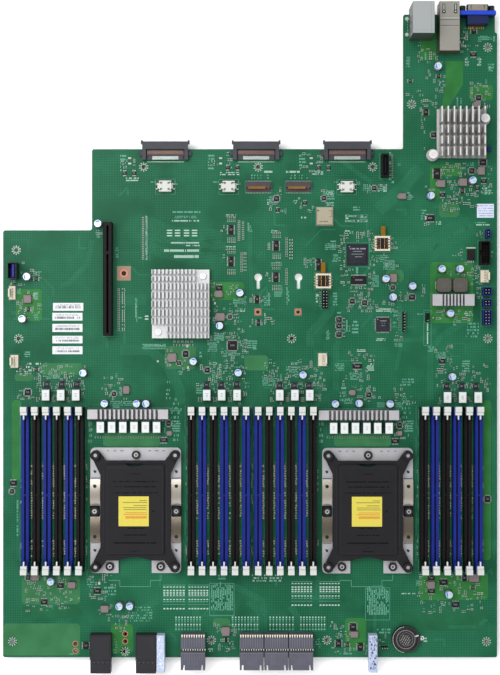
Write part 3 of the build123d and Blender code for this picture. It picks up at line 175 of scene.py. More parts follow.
class Shader:
    """One node material around a Principled shader, mapped in object space (metres)."""

    def __init__(self, name):
        self.material = bpy.data.materials.new(name)
        self.material.use_nodes = True
        self.tree = self.material.node_tree
        self.tree.nodes.clear()
        output = self.node("ShaderNodeOutputMaterial")
        self.bsdf = self.node("ShaderNodeBsdfPrincipled")
        self.feed(output.inputs[0], self.bsdf.outputs[0])
        self.coords = self.node("ShaderNodeTexCoord").outputs["Object"]

    def node(self, kind, **settings):
        node = self.tree.nodes.new(kind)
        for key, value in settings.items():
            setattr(node, key, value)
        return node

    def feed(self, socket, value):
        """Give a socket a colour, a number or a link."""
        if isinstance(value, tuple):
            socket.default_value = (*value[:3], 1)
        elif isinstance(value, (int, float)):
            socket.default_value = value
        else:
            self.tree.links.new(value, socket)

    def noise(self, scale, detail=3.0, rough=0.55, stretch=(1, 1, 1)):
        coords = self.coords
        if stretch != (1, 1, 1):
            mapping = self.node("ShaderNodeMapping")
            mapping.inputs["Scale"].default_value = stretch
            self.feed(mapping.inputs[0], coords)
            coords = mapping.outputs[0]
        node = self.node("ShaderNodeTexNoise")
        node.inputs["Scale"].default_value = scale
        node.inputs["Detail"].default_value = detail
        node.inputs["Roughness"].default_value = rough
        self.feed(node.inputs["Vector"], coords)
        return node.outputs["Fac"]

    def remap(self, value, low, high, out_low=0.0, out_high=1.0):
        node = self.node("ShaderNodeMapRange")
        for i, item in enumerate((value, low, high, out_low, out_high)):
            self.feed(node.inputs[i], item)
        return node.outputs[0]

    def spread(self, noise, out_low=0.0, out_high=1.0):
        """Stretch the middle of a noise over the output range."""
        return self.remap(noise, 0.3, 0.7, out_low, out_high)

    def calc(self, operation, *values):
        node = self.node("ShaderNodeMath", operation=operation)
        for i, value in enumerate(values):
            self.feed(node.inputs[i], value)
        return node.outputs[0]

    def mix(self, factor, first, second):
        node = self.node("ShaderNodeMix", data_type="RGBA")
        for i, value in ((0, factor), (6, first), (7, second)):
            self.feed(node.inputs[i], value)
        return node.outputs[2]

    def tone(self, factor, colour, low, high):
        return self.mix(factor, shade(colour, low), shade(colour, high))

    def xyz(self):
        node = self.node("ShaderNodeSeparateXYZ")
        self.feed(node.inputs[0], self.coords)
        return node.outputs

    def facing_up(self):
        geometry = self.node("ShaderNodeNewGeometry")
        node = self.node("ShaderNodeSeparateXYZ")
        self.feed(node.inputs[0], geometry.outputs["True Normal"])
        return node.outputs[2]

    def wave(self, operation, axis, period):
        return self.calc(operation, self.calc("MULTIPLY", axis, 2 * math.pi / (period * MM)))

    def via_grid(self, x, y, low, high):
        """Dots every 1.45 mm."""
        across, along = (self.calc("ADD", self.wave("COSINE", axis, 1.45), 1.0) for axis in (x, y))
        return self.remap(self.calc("MULTIPLY", across, along), low, high)

    def surface(self, **inputs):
        names = {"colour": "Base Color", "metallic": "Metallic", "roughness": "Roughness",
                 "specular": "Specular IOR Level", "glow": "Emission Color",
                 "glow_strength": "Emission Strength"}
        for key, value in inputs.items():
            self.feed(self.bsdf.inputs[names[key]], value)

    def relief(self, height, strength, distance, bevel=0.0):
        """Bump of a distance in metres over edges rounded by a bevel in mm."""
        bump = self.node("ShaderNodeBump")
        bump.inputs["Strength"].default_value = strength
        bump.inputs["Distance"].default_value = distance
        self.feed(bump.inputs["Height"], height)
        if bevel:
            node = self.node("ShaderNodeBevel", samples=3)
            node.inputs["Radius"].default_value = bevel * MM
            self.feed(bump.inputs["Normal"], node.outputs[0])
        self.feed(self.bsdf.inputs["Normal"], bump.outputs[0])


# ------------------------------------------------------------------ kinds of material
def plastic(name, rgb, rough, variation, bevel=0.18, specular=0.2, grain=9000, bump=0.25):
    """Moulded plastic: slight tone drift, fine grain, uneven roughness, softened edges."""
    m, base = Shader(name), lin(rgb)
    fine = m.noise(grain, detail=2)
    colour = m.tone(m.spread(m.noise(90)), base, 1 - variation, 1 + variation)
    colour = m.mix(m.remap(fine, 0.35, 0.75, out_high=0.35), colour,
                   shade(base, 1 - 1.6 * variation))
    m.surface(colour=colour, specular=specular,
              roughness=m.spread(m.noise(400, detail=4), rough - 0.07, rough + 0.09))
    m.relief(fine, strength=bump, distance=0.00004, bevel=bevel)
    return m.material


def metal(name, rgb, rough, variation, stretch, scale, metallic=1.0):
    """Rolled or plated metal: streaks along one axis, smudges in roughness, softened edges."""
    m, base = Shader(name), lin(rgb)
    streaks = m.noise(scale, detail=4, rough=0.6, stretch=stretch)
    smudges = m.spread(m.noise(120, detail=4), rough - 0.07, rough + 0.07)
    m.surface(colour=m.tone(m.spread(streaks), base, 1 - variation, 1 + variation),
              metallic=metallic,
              roughness=m.calc("ADD", smudges, m.spread(streaks, 0.0, 0.05)))
    m.relief(streaks, strength=0.15, distance=0.00003, bevel=0.12)
    return m.material


def board_material():
    """Green mask over a stitched via grid and glass weave, with layered laminate at the edges."""
    m = Shader("solder_mask")
    x, y, z = m.xyz()
    base, dark, light = lin((25, 84, 57)), lin((15, 70, 46)), lin((35, 97, 71))
    mid = m.noise(38, detail=5, rough=0.6)
    colour = m.mix(m.remap(m.noise(9), 0.35, 0.65), dark, base)
    colour = m.mix(m.remap(mid, 0.45, 0.75, out_high=0.55), colour, light)
    vias = m.via_grid(x, y, 1.4, 3.4)
    patches = m.remap(m.noise(22, detail=2), 0.38, 0.48)
    visible = m.calc("MULTIPLY", m.calc("MULTIPLY", vias, patches), 0.85)
    colour = m.mix(visible, colour, shade(light, 1.5))
    weave = m.calc("MULTIPLY", m.wave("SINE", x, 0.55), m.wave("SINE", y, 0.55))
    side = m.remap(m.calc("ABSOLUTE", m.facing_up()), 0.5, 0.6, 1.0, 0.0)
    layers = m.remap(m.wave("SINE", z, 0.42), -1, 1)
    edge = m.mix(layers, lin((96, 104, 58)), lin((128, 128, 78)))
    m.surface(colour=m.mix(side, colour, edge), specular=0.09,
              roughness=m.calc("ADD", m.spread(mid, 0.34, 0.46), m.calc("MULTIPLY", side, 0.3)))
    height = m.calc("ADD", m.calc("MULTIPLY", vias, 0.6), m.calc("MULTIPLY", weave, 0.25))
    m.relief(height, strength=0.22, distance=0.00003)
    return m.material


def pour(name, rgb, hatch):
    """Copper area seen through the mask, or a strip of mask lightened as painted light; hatch is
    how strongly its via grid shows.
    """
    m, base = Shader(name), lin(rgb)
    x, y, z = m.xyz()
    mid = m.noise(60, detail=4)
    colour = m.tone(m.remap(mid, 0.35, 0.7), base, 0.86, 1.14)
    vias = m.via_grid(x, y, 1.6, 3.2)
    m.surface(colour=m.mix(m.calc("MULTIPLY", vias, hatch), colour, shade(base, 1.45)),
              roughness=m.spread(mid, 0.33, 0.45), specular=0.1)
    m.relief(vias, strength=0.15, distance=0.00003)
    return m.material


def printed(name, rgb):
    """Screen ink or label stock with thin patches."""
    m = Shader(name)
    fine = m.noise(2600)
    m.surface(colour=m.tone(m.remap(fine, 0.35, 0.7), lin(rgb), 0.86, 1.04),
              roughness=m.spread(fine, 0.47, 0.63))
    m.relief(fine, strength=0.2, distance=0.00002)
    return m.material


def top_and_shaded_side(name, top, side, rough_top, rough_side, bevel, speckle,
                 metal_top=0.0, metal_side=0.0):
    """A part whose sides are coloured darker than its upper face as painted shade, partly the real
    dark body for the chokes under their real white top label; roughness and metallic differ too.
    """
    m = Shader(name)
    fine, broad = m.noise(3200), m.noise(260)
    up = m.remap(m.facing_up(), 0.55, 0.8)
    top_colour = m.tone(m.remap(fine, 0.35, 0.7), lin(top), 1 - speckle, 1 + speckle * 0.4)
    shaded_side_colour = m.tone(m.remap(broad, 0.35, 0.7), lin(side), 0.8, 1.2)
    # painted shade: the sides take the darker side colour
    m.surface(colour=m.mix(up, shaded_side_colour, top_colour),
              metallic=m.remap(up, 0, 1, metal_side, metal_top),
              roughness=m.calc("ADD", m.remap(up, 0, 1, rough_side, rough_top),
                               m.spread(broad, -0.05, 0.06)))
    m.relief(fine, strength=0.3, distance=0.00004, bevel=bevel)
    return m.material


def package(name, rgb):
    """Moulded chip body with a fine sand texture."""
    m, base = Shader(name), lin(rgb)
    fine = m.noise(7000, rough=0.7)
    body = m.tone(m.spread(m.noise(160, detail=2)), base, 0.8, 1.25)
    m.surface(colour=m.mix(m.remap(fine, 0.4, 0.8, out_high=0.6), body, shade(base, 1.9)),
              roughness=m.spread(fine, 0.42, 0.62), specular=0.12)
    m.relief(fine, strength=0.35, distance=0.00004, bevel=0.1)
    return m.material


def finned(name, tip_rgb, root_rgb, z0, z1):
    """Extruded aluminium sink, coloured from root (z0) to fin tip (z1) as painted light and shade,
    streaked along the fins.
    """
    m, tip = Shader(name), lin(tip_rgb)
    streaks = m.noise(1300, detail=4, rough=0.6, stretch=(1, 10, 1))
    # painted light and shade: colour graded by height from root to fin tip
    colour = m.mix(m.remap(m.xyz()[2], z0 * MM, z1 * MM), lin(root_rgb), tip)
    m.surface(colour=m.mix(m.spread(streaks, 0.0, 0.3), colour, shade(tip, 0.8)),
              metallic=0.35, roughness=m.spread(m.noise(120, detail=4), 0.32, 0.46))
    m.relief(streaks, strength=0.15, distance=0.00003, bevel=0.12)
    return m.material


def vga_material():
    """Moulded flange in strong blue; the blue body below it is darkened as painted shade."""
    m = Shader("vga_blue")
    flange = m.remap(m.xyz()[2], (TOP + 11.2) * MM, (TOP + 12.0) * MM)
    fine = m.noise(5000)
    # painted shade: the blue below the flange is darkened
    colour = m.mix(flange, lin((6, 22, 66)), lin((18, 60, 188)))
    m.surface(colour=m.mix(m.remap(fine, 0.35, 0.75, out_high=0.35), colour, lin((14, 20, 66))),
              roughness=m.spread(fine, 0.36, 0.5), specular=0.25)
    m.relief(fine, strength=0.2, distance=0.00004, bevel=0.25)
    return m.material


def leaf_material():
    """Rolled spring steel with a painted highlight towards the rear that fades forward, and
    painted shade over the front span.
    """
    m = Shader("leaf_steel")
    y = m.xyz()[1]
    streaks = m.noise(1200, rough=0.5, stretch=(10, 1, 1))
    # painted highlight at the rear, fading forward; painted shade over the front span
    rear = m.remap(y, 107.0 * MM, 108.5 * MM)
    highlight_fade = m.remap(y, 131 * MM, 108 * MM)
    rear_colour = m.mix(highlight_fade, lin((162, 155, 144)), lin((112, 108, 104)))
    colour = m.mix(rear, lin((88, 80, 68)), rear_colour)
    m.surface(colour=m.mix(m.spread(streaks, 0.0, 0.2), colour, lin((110, 102, 90))),
              metallic=0.6, roughness=m.spread(streaks, 0.26, 0.36))
    m.relief(streaks, strength=0.08, distance=0.00002, bevel=0.1)
    return m.material


def can_material():
    """Capacitor can: bright aluminium sleeve standing on a dark square base."""
    m = Shader("capacitor_can")
    sleeve = m.remap(m.xyz()[2], (TOP + 1.5) * MM, (TOP + 1.7) * MM)
    streaks = m.noise(1500, detail=4, rough=0.6, stretch=(1, 1, 6))
    can = m.mix(m.spread(streaks), lin((172, 192, 214)), lin((206, 218, 234)))
    m.surface(colour=m.mix(sleeve, lin((30, 34, 44)), can),
              metallic=m.remap(sleeve, 0, 1, 0.0, 0.55), roughness=m.spread(streaks, 0.26, 0.36))
    m.relief(streaks, strength=0.12, distance=0.00003, bevel=0.12)
    return m.material


# ------------------------------------------------------------------ the materials
M = {}


def make(kind, rows):
    """Rows start with a key, followed by the material's name where it differs from the key."""
    for names, *values in rows:
        key, name = (names.split() * 2)[:2]
        M[key] = kind(name, *values)


M["pcb"] = board_material()
M["vga_blue"] = vga_material()
M["spring_steel"] = leaf_material()
M["capacitor"] = can_material()
# names, colour, hatch
make(pour, [
    ("pour pour_light", (48, 102, 64), 0.12),
    ("pour2 pour_bright", (42, 104, 50), 0.16),
    ("pour3 pour_pale", (26, 84, 55), 0.30),
    # mask_between_slots: lightened as painted light against the shade between the slots
    ("slot_gap mask_between_slots", (40, 132, 88), 0.1),
    ("trace trace_green", (42, 108, 80), 0.0),
])
# names, colour, roughness, tone variation, bevel in mm, specular, grain scale, bump strength
make(plastic, [
    ("slot_blue", (19, 34, 114), 0.40, 0.12, 0.18, 0.12),
    ("black_plastic", (16, 14, 16), 0.42, 0.18, 0.18, 0.1),
    ("latch latch_white", (188, 190, 186), 0.40, 0.04, 0.3),
    ("power_black", (36, 35, 39), 0.5, 0.12, 0.4),
    ("socket socket_frame", (40, 38, 36), 0.5, 0.15),
    ("cover cover_black", (23, 22, 26), 0.50, 0.10, 0.35, 0.16, 5200, 0.35),
    ("push_pin push_pin_white", (204, 201, 202), 0.42, 0.03),
    ("cream_plastic", (194, 185, 166), 0.46, 0.06),
    ("m2_plastic", (62, 54, 58), 0.45, 0.12),
    ("edge_plastic", (56, 56, 62), 0.45, 0.12),
    ("white_plastic", (186, 187, 181), 0.42, 0.03),
    ("header_blue", (22, 28, 90), 0.42, 0.12),
    ("tongue_blue", (14, 28, 118), 0.38, 0.1),
    ("holder_plastic", (24, 24, 24), 0.4, 0.15, 0.18, 0.4),
    ("grey_plastic", (80, 80, 90), 0.5, 0.10, 0.25),
    ("guide_white", (168, 178, 202), 0.45, 0.05, 0.3),
    ("guide_lilac", (156, 165, 196), 0.45, 0.08, 0.3, 0.2, 2200),
    ("res_black resistor_body", (22, 22, 24), 0.45, 0.1, 0),
    ("cap_tan ceramic_tan", (104, 92, 64), 0.5, 0.12, 0),
    ("cap_brown ceramic_brown", (70, 54, 42), 0.5, 0.12, 0),
    ("ridge connector_ridge", (104, 104, 116), 0.5, 0.1, 0),
    ("cap_blue cap_marking", (58, 124, 196), 0.4, 0.06, 0),
    ("kapton amber_tape", (118, 84, 10), 0.3, 0.15, 0),
    # dark_hole: near-black painted shade for slots, gaps and openings
    ("dark_hole shadow_gap", (16, 17, 18), 0.7, 0.1, 0),
])
# names, colour, roughness, tone variation, streak stretch, streak scale, metallic
make(metal, [
    ("end_cap", (138, 158, 146), 0.45, 0.12, (1, 1, 1), 3000, 0.2),
    ("steel bolster_steel", (166, 165, 168), 0.34, 0.08, (1, 9, 1), 900, 0.5),
    ("black_screw black_oxide", (24, 23, 25), 0.36, 0.2, (1, 1, 1), 2600, 0.5),
    ("stud stud_steel", (190, 188, 184), 0.28, 0.1, (1, 1, 8), 1800),
    ("backplate backplate_steel", (150, 150, 150), 0.4, 0.1, (1, 14, 1), 1000),
    ("gold gold_plate", (226, 186, 92), 0.24, 0.08, (1, 1, 1), 2200),
    ("shell_metal plated_shell", (206, 200, 190), 0.24, 0.06, (1, 1, 8), 1400),
    ("cell cell_steel", (62, 60, 60), 0.22, 0.14, (1, 1, 1), 900, 0.9),
    ("solder solder_tin", (206, 208, 208), 0.30, 0.12, (1, 1, 1), 3000, 0.75),
    ("copper_ring", (172, 114, 88), 0.42, 0.08, (1, 1, 1), 1800, 0.35),
    ("copper copper_pad", (124, 98, 80), 0.42, 0.08, (1, 1, 1), 1800, 0.35),
    ("copper_dark copper_hole", (84, 36, 26), 0.5, 0.1, (1, 1, 1), 1800, 0.4),
    ("pin_red contact_bronze", (118, 92, 80), 0.4, 0.1, (1, 1, 1), 1600, 0.5),
    ("pin_grey contact_tin", (162, 174, 166), 0.35, 0.1, (1, 1, 1), 1600, 0.5),
])
make(package, [
    ("package", (32, 33, 39)),
    ("chip_black chip_small", (24, 19, 21)),
])
# names, tip colour, root colour (a painted light and shade gradient by height), root height, tip
# height
make(finned, [
    ("heatsink sink_aluminium", (178, 179, 179), (192, 192, 192), TOP + 4.0, TOP + 10.5),
    ("net_sink net_sink_aluminium", (204, 204, 202), (156, 154, 151), TOP + 20.4, TOP + 21.9),
    ("vrm_heatsink vrm_aluminium", (166, 164, 167), (128, 126, 129), TOP + 7.5, TOP + 9.8),
])
# names, top colour, side colour darkened as painted shade, top and side roughness, bevel, speckle,
# top and side metallic
make(top_and_shaded_side, [
    ("choke choke_block", (200, 204, 203), (44, 42, 42), 0.5, 0.6, 0.3, 0.06),
    ("inductor inductor_square", (70, 67, 61), (44, 41, 38), 0.55, 0.6, 0.3, 0.22),
    ("inductor_small", (112, 98, 98), (58, 50, 50), 0.55, 0.6, 0.25, 0.2),
    ("shield tinned_shield", (140, 144, 144), (64, 66, 66), 0.42, 0.45, 0.2, 0.05, 0.1, 0.3),
    ("shield_usb tinned_shield_worn", (131, 128, 120), (74, 66, 54),
     0.4, 0.45, 0.2, 0.14, 0.15, 0.3),
    ("card_tin card_socket_tin", (150, 141, 120), (92, 84, 70), 0.4, 0.45, 0.2, 0.12, 0.2, 0.3),
    ("vga_shell vga_shell_tin", (138, 130, 116), (60, 56, 52), 0.32, 0.4, 0.15, 0.08, 0.4, 0.4),
])
make(printed, [
    ("silk silk_ink", (160, 186, 174)),
    ("silk_dim silk_ink_thin", (82, 146, 122)),
    ("paper label_paper", (206, 209, 210)),
    ("ink label_ink", (58, 58, 66)),
    ("ink_light label_ink_light", (126, 124, 140)),
    ("yellow label_yellow", (196, 182, 62)),
    ("orange label_orange", (190, 118, 24)),
    ("ink_olive label_ink_olive", (96, 84, 28)),
    # slot_gap_parts: real cream parts, coloured brighter as painted light against the shade
    # between the slots
    ("gap_part slot_gap_parts", (250, 246, 216)),
])

# Every loaded node takes the material of its slot, or the one named here.
NODE_MATERIALS = {
    "network_heatsink": "net_sink", "small_inductors": "inductor_small",
    "ic_packages": "chip_black", "usb_stack": "shield_usb", "vga_shell": "vga_shell",
    "card_slot": "card_tin", "bolster_screws": "black_screw", "header_pins": "pin_grey",
    "power_connectors": "power_black", "usb_port_shell": "black_screw",
}
NODE_SLOTS = {part["node"]: part["material_slot"] for part in frame["record"]["subparts"]}
for name, obj in frame["nodes"].items():
    slot_name = NODE_SLOTS.get(name, "black_plastic")
    material = M.get(NODE_MATERIALS.get(name, slot_name), M["black_plastic"])
    obj.data.materials.clear()
    obj.data.materials.append(material)

# Finishes only the added details use, with the same columns as above.
make(plastic, [
    ("latch_shadow", (176, 178, 176), 0.5, 0.05, 0),
    ("cover_mark", (12, 12, 13), 0.42, 0.05, 0, 0.05),
    ("cover_edge", (40, 39, 44), 0.4, 0.06, 0),
    ("inductor_mark", (66, 60, 54), 0.5, 0.1, 0),
    # power_mark: painted highlight on the power connector tops
    ("m2_recess", (112, 78, 24), 0.45, 0.2, 0),
    ("power_mark", (78, 76, 80), 0.45, 0.1, 0),
    ("guide_fleck", (214, 222, 240), 0.5, 0.1, 0),
])
make(metal, [
    ("pin_cream contact_cream", (206, 200, 186), 0.4, 0.08, (1, 1, 1), 1600, 0.3),
    # cell_bright: embossed print and painted highlight rings on the coin cell
    ("cell_bright cell_polish", (150, 148, 148), 0.25, 0.08, (1, 1, 1), 1200, 0.6),
    ("seam shield_seam", (124, 128, 130), 0.45, 0.06, (1, 1, 1), 900, 0.3),
    ("pad pad_tin", (150, 164, 152), 0.42, 0.05, (1, 1, 1), 2400, 0.2),
    ("contact_shadow contact_in_groove", (58, 48, 40), 0.5, 0.2, (1, 1, 1), 1600, 0.4),
])
make(printed, [
    ("ink_chip laser_mark", (138, 142, 150)),
    ("choke_mark", (112, 114, 118)),
    ("label_blue label_bluish", (190, 196, 218)),
])

# ------------------------------------------------------------------ occupied plan area
# Small parts are only placed on free cells, so they never sit inside a larger one.
CELL = 0.5
occupied = set()


def cells(x0, y0, x1, y1):
    for i in range(int(math.floor(x0 / CELL)), int(math.floor(x1 / CELL)) + 1):
        for j in range(int(math.floor(y0 / CELL)), int(math.floor(y1 / CELL)) + 1):
            yield (i, j)


def occupy(x0, y0, x1, y1, margin=0.25):
    occupied.update(cells(x0 - margin, y0 - margin, x1 + margin, y1 + margin))


def free(x0, y0, x1, y1):
    return not any(cell in occupied for cell in cells(x0, y0, x1, y1))


class Solid:
    """Bounds of one separate solid of a node."""

    def __init__(self, bounds):
        self.bounds = bounds
        self.x0, self.y0, self.z0, self.x1, self.y1, self.top = bounds
        self.x, self.y = (self.x0 + self.x1) / 2, (self.y0 + self.y1) / 2
        self.w, self.d = self.x1 - self.x0, self.y1 - self.y0


def split_solids(obj):
    """The solids of a node, found by joining the corners that share a face or a place."""
    mesh = obj.data
    places = [tuple(round(c / MM, 3) for c in v.co) for v in mesh.vertices]
    first_at = {}
    parent = [first_at.setdefault(place, i) for i, place in enumerate(places)]

    def find(a):
        while parent[a] != a:
            parent[a] = parent[parent[a]]
            a = parent[a]
        return a

    for polygon in mesh.polygons:
        root = find(polygon.vertices[0])
        for vertex in polygon.vertices[1:]:
            other = find(vertex)
            if root != other:
                parent[other] = root
    boxes = {}
    for i, place in enumerate(places):
        box = boxes.setdefault(find(i), [*place, *place])
        for k, c in enumerate(place):
            box[k] = min(box[k], c)
            box[k + 3] = max(box[k + 3], c)
    return [Solid(box) for box in boxes.values()]


SOLIDS = {name: split_solids(obj) for name, obj in frame["nodes"].items() if name != "pcb"}
for node_solids in SOLIDS.values():
    for part in node_solids:
        if part.top > TOP + 0.2:
            occupy(part.x0, part.y0, part.x1, part.y1)


def solids(name, min_height=-100):
    """Solids of a node that reach at least min_height above the board."""
    return [part for part in SOLIDS.get(name, []) if part.top >= TOP + min_height]


HOLES = [(-205.0, 0.0), (205.0, 0.0), (-32.9, 1.2), (67.1, 1.2), (-107.4, -8.5),
         (-199.6, 262.0), (36.5, 262.0), (206.3, 262.0), (-201.7, 338.6),
         (206.2, 513.9), (140.3, 464.7), (-91.5, 410.5), (7.55, 410.5), (106.6, 410.5)]
LOOP_MARKS = [(7.6, 315.1), (42.5, 315.1)]
SMALL_COPPER_HOLES = [(7.35, 285.1), (41.95, 285.1)]
LARGE_COPPER_HOLE = (-108.6, 318.5)
PEG_HOLES = [(-150.5, -1.9), (-150.5, -8.0), (-107.5, 6.6), (-107.5, 0.2)]
for x, y in HOLES:
    occupy(x - 4.6, y - 4.6, x + 4.6, y + 4.6)
for x, y in LOOP_MARKS:
    occupy(x - 3.8, y - 11, x + 3.8, y + 3.8)
occupy(-114.9, 312.0, -102.3, 325.0)
occupy(3, 281, 11.5, 289.5)
occupy(37.6, 281, 46.2, 289.5)


def on_board(x0, y0, x1, y1):
    """Whether all four corners lie on the stepped board outline."""
    for x, y in ((x0, y0), (x1, y0), (x0, y1), (x1, y1)):
        if not (-212.0 < x < 213.0 and -12.6 < y < 541.0):
            return False
        if y > 354.8 and x < -135.2:
            return False
        if y > 424.9 and x < 134.0:
            return False
        if y > 526.0 and x > 211.4:
            return False
    return True


# ------------------------------------------------------------------ copper under the mask
# x, y and radius kept clear of copper and traces
CUTS = ([(x, y, 4.4) for x, y in HOLES] + [(x, y, 2.3) for x, y in PEG_HOLES]
        + [(*LARGE_COPPER_HOLE, 6.5)] + [(x, y, 3.3) for x, y in SMALL_COPPER_HOLES]
        + [(x, y, 3.6) for x, y in LOOP_MARKS])


def copper_area(batch, u0, v0, u1, v1, clip=2.0, top=0.012):
    """A copper area with clipped corners, cut into strips where it passes round holes."""
    (x0, y1), (x1, y0) = plan(u0, v0), plan(u1, v1)
    inside = [cut for cut in CUTS if x0 < cut[0] < x1 and y0 < cut[1] < y1]
    if not inside:
        batch.prism([(x0 + clip, y0), (x1 - clip, y0), (x1, y0 + clip), (x1, y1 - clip),
                     (x1 - clip, y1), (x0 + clip, y1), (x0, y1 - clip), (x0, y0 + clip)],
                    TOP + 0.002, TOP + top)
        return
    edges = sorted({x0, x1} | {cut[0] for cut in inside})
    for a, b in zip(edges, edges[1:]):
        points = [(a, y0 + clip), (a + clip, y0)] if a == x0 else [(a, y0)]
        points += [(b - clip, y0), (b, y0 + clip)] if b == x1 else [(b, y0)]
        for x, y, radius in sorted((c for c in inside if c[0] == b), key=lambda c: c[1]):
            points += arc(x, y, radius, -math.pi / 2, -math.pi, 12)
        points += [(b, y1 - clip), (b - clip, y1)] if b == x1 else [(b, y1)]
        points += [(a + clip, y1), (a, y1 - clip)] if a == x0 else [(a, y1)]
        for x, y, radius in sorted((c for c in inside if c[0] == a), key=lambda c: -c[1]):
            points += arc(x, y, radius, math.pi / 2, -math.pi, 12)
        batch.prism(points, TOP + 0.002, TOP + top)


# grid rectangles: u0, v0, u1, v1
LIGHT_POURS = [
    (3, 623.5, 80, 655.5), (103, 433, 160, 446.5), (334, 433, 391, 446.5), (41, 363, 83, 375),
    (14.5, 373, 33, 381), (244.5, 355.4, 268.3, 370.4), (165, 346, 196, 369),
    (213, 618, 230, 627), (22, 577, 80, 604), (439, 202, 459, 217), (386, 269.6, 403.5, 282),
]
BRIGHT_POURS = [
    (12, 400, 21, 480), (15.7, 289, 42, 321), (210, 282, 244, 300), (430, 262, 473, 323),
    (483, 400, 491, 560), (419, 573, 488, 600), (345, 618, 366, 650), (111, 624, 133, 653),
    (430, 165, 440, 200), (440, 164, 462, 176), (469, 85, 493, 100),
]
HATCHED_POURS = [(402, 610, 486, 630), (22, 606, 82, 618), (248, 562, 288, 576)]
BRIGHT_OUTLINES = [
    [(446, 61), (463, 61), (463, 84), (448, 109), (441, 109), (446, 84)],
    [(420, 33), (436, 33), (436, 60), (420, 60)],
]
light_pours = Batch("copper_pours")
bright_pours = Batch("copper_pours_bright")
hatched_pours = Batch("copper_pours_hatched")
for area in LIGHT_POURS:
    copper_area(light_pours, *area)
for area in BRIGHT_POURS:
    copper_area(bright_pours, *area)
for outline in BRIGHT_OUTLINES:
    bright_pours.prism([plan(*point) for point in outline], TOP + 0.002, TOP + 0.012)
for area in HATCHED_POURS:
    copper_area(hatched_pours, *area, clip=1.0, top=0.008)
light_pours.build(M["pour"])
bright_pours.build(M["pour2"])
hatched_pours.build(M["pour3"])

# ------------------------------------------------------------------ traces
traces = Batch("traces")


def open_trace(start, end):
    """A straight trace, left out over holes and off the board."""
    (xa, ya), (xb, yb) = start, end
    steps = max(1, int(math.hypot(xb - xa, yb - ya) / 1.5))
    samples = [(xa + (xb - xa) * i / steps, ya + (yb - ya) * i / steps) for i in range(steps + 1)]
    run = []
    for point in samples + [None]:
        if point:
            x, y = point
            blocked = any((x - hx) ** 2 + (y - hy) ** 2 < (r + 0.8) ** 2 for hx, hy, r in CUTS)
            if not blocked and on_board(x, y, x, y):
                run.append(point)
                continue
        if len(run) > 1:
            traces.path([run[0], run[-1]], 0.22, TOP + 0.002, 0.016)
        run = []


def bundle(route, count, pitch):
    """Parallel traces following a bent route on the layout grid."""
    points = [plan(*point) for point in route]
    for k in range(count):
        offset = (k - (count - 1) / 2) * pitch
        line = []
        for i, (x, y) in enumerate(points):
            before, after = points[max(0, i - 1)], points[min(len(points) - 1, i + 1)]
            dx, dy = after[0] - before[0], after[1] - before[1]
            length = math.hypot(dx, dy) or 1
            line.append((x - dy / length * offset, y + dx / length * offset))
        for start, end in zip(line, line[1:]):
            open_trace(start, end)


# trace count, pitch in mm, then the grid points of the route
BUNDLES = [
    (9, 1.3, (148, 222), (158, 228), (176, 234), (222, 236)),
    (8, 1.2, (148, 246), (160, 252), (180, 256), (224, 258)),
    (6, 1.1, (148, 236), (170, 240), (200, 244), (226, 246)),
    (5, 0.9, (60, 285), (68, 284), (88, 263), (92, 240)),
    (8, 1.5, (376, 244), (432, 244), (446, 232), (470, 222)),
    (7, 1.5, (376, 256), (430, 256), (452, 240), (474, 228)),
    (14, 0.8, (378, 210), (400, 190), (420, 168)),
    (6, 0.8, (400, 90), (400, 120), (388, 150)),
    (8, 0.9, (310, 346), (310, 334), (330, 312), (334, 296)),
    (7, 1.1, (318, 400), (318, 372), (318, 350)),
    (5, 1.1, (336, 390), (336, 350), (338, 340)),
    (6, 0.9, (430, 400), (430, 350), (444, 334), (468, 320)),
    (6, 1.0, (214, 596), (200, 600), (160, 600), (140, 610)),
    (8, 1.2, (250, 600), (262, 612), (262, 640)),
    (6, 0.9, (234, 586), (262, 600), (264, 616)),
    (5, 0.8, (330, 150), (356, 172), (372, 182)),
    (10, 0.9, (120, 350), (150, 350), (168, 366), (180, 390), (180, 404)),
    (10, 0.9, (120, 300), (146, 300)),
    (5, 0.9, (212, 400), (212, 372), (214, 350)),
    (4, 0.9, (250, 232), (250, 262), (252, 290)),
    (5, 0.8, (395, 340), (420, 340), (436, 330)),
    (4, 0.8, (396, 300), (400, 306), (400, 350), (396, 370)),
    (5, 0.9, (300, 556), (318, 574), (318, 596)),
    (4, 0.8, (452, 96), (438, 140), (432, 150)),
    (3, 0.8, (20, 400), (18, 440), (18, 560)),
    (3, 0.8, (488, 400), (494, 420), (494, 560)),
    (8, 0.8, (196, 606), (196, 622), (190, 632)),
    (8, 0.8, (290, 606), (296, 614), (298, 630)),
]
for count, pitch, *route in BUNDLES:
    bundle(route, count, pitch)
# short bent bundles scattered over the whole board
for _ in range(120):
    u, v = dice.uniform(10, 490), dice.uniform(180, 655)
    length = dice.uniform(6, 26)
    du, dv = dice.choice([(1, 0), (0, 1), (0.7, 0.7), (0.7, -0.7)])
    bend = (u + du * length, v + dv * length)
    du, dv = dice.choice([(1, 0), (0, 1)])
    route = [(u, v), bend, (bend[0] + du * length * 0.6, bend[1] + dv * length * 0.6)]
    if all(on_board(x - 2, y - 2, x + 2, y + 2) for x, y in (plan(*p) for p in route)):
        bundle(route, dice.choice([1, 2, 3, 4]), dice.choice([0.5, 0.7]))
traces.build(M["trace"])

# ------------------------------------------------------------------ small surface parts
# These batches collect details from many sections and are built at the end.
part_ends = Batch("passive_ends")
bodies = {kind: Batch("passives_" + kind) for kind in ("black", "tan", "brown")}
silk = Batch("silkscreen")
silk_dim = Batch("silkscreen_thin")
lands = Batch("bright_lands")
leads = Batch("package_leads")


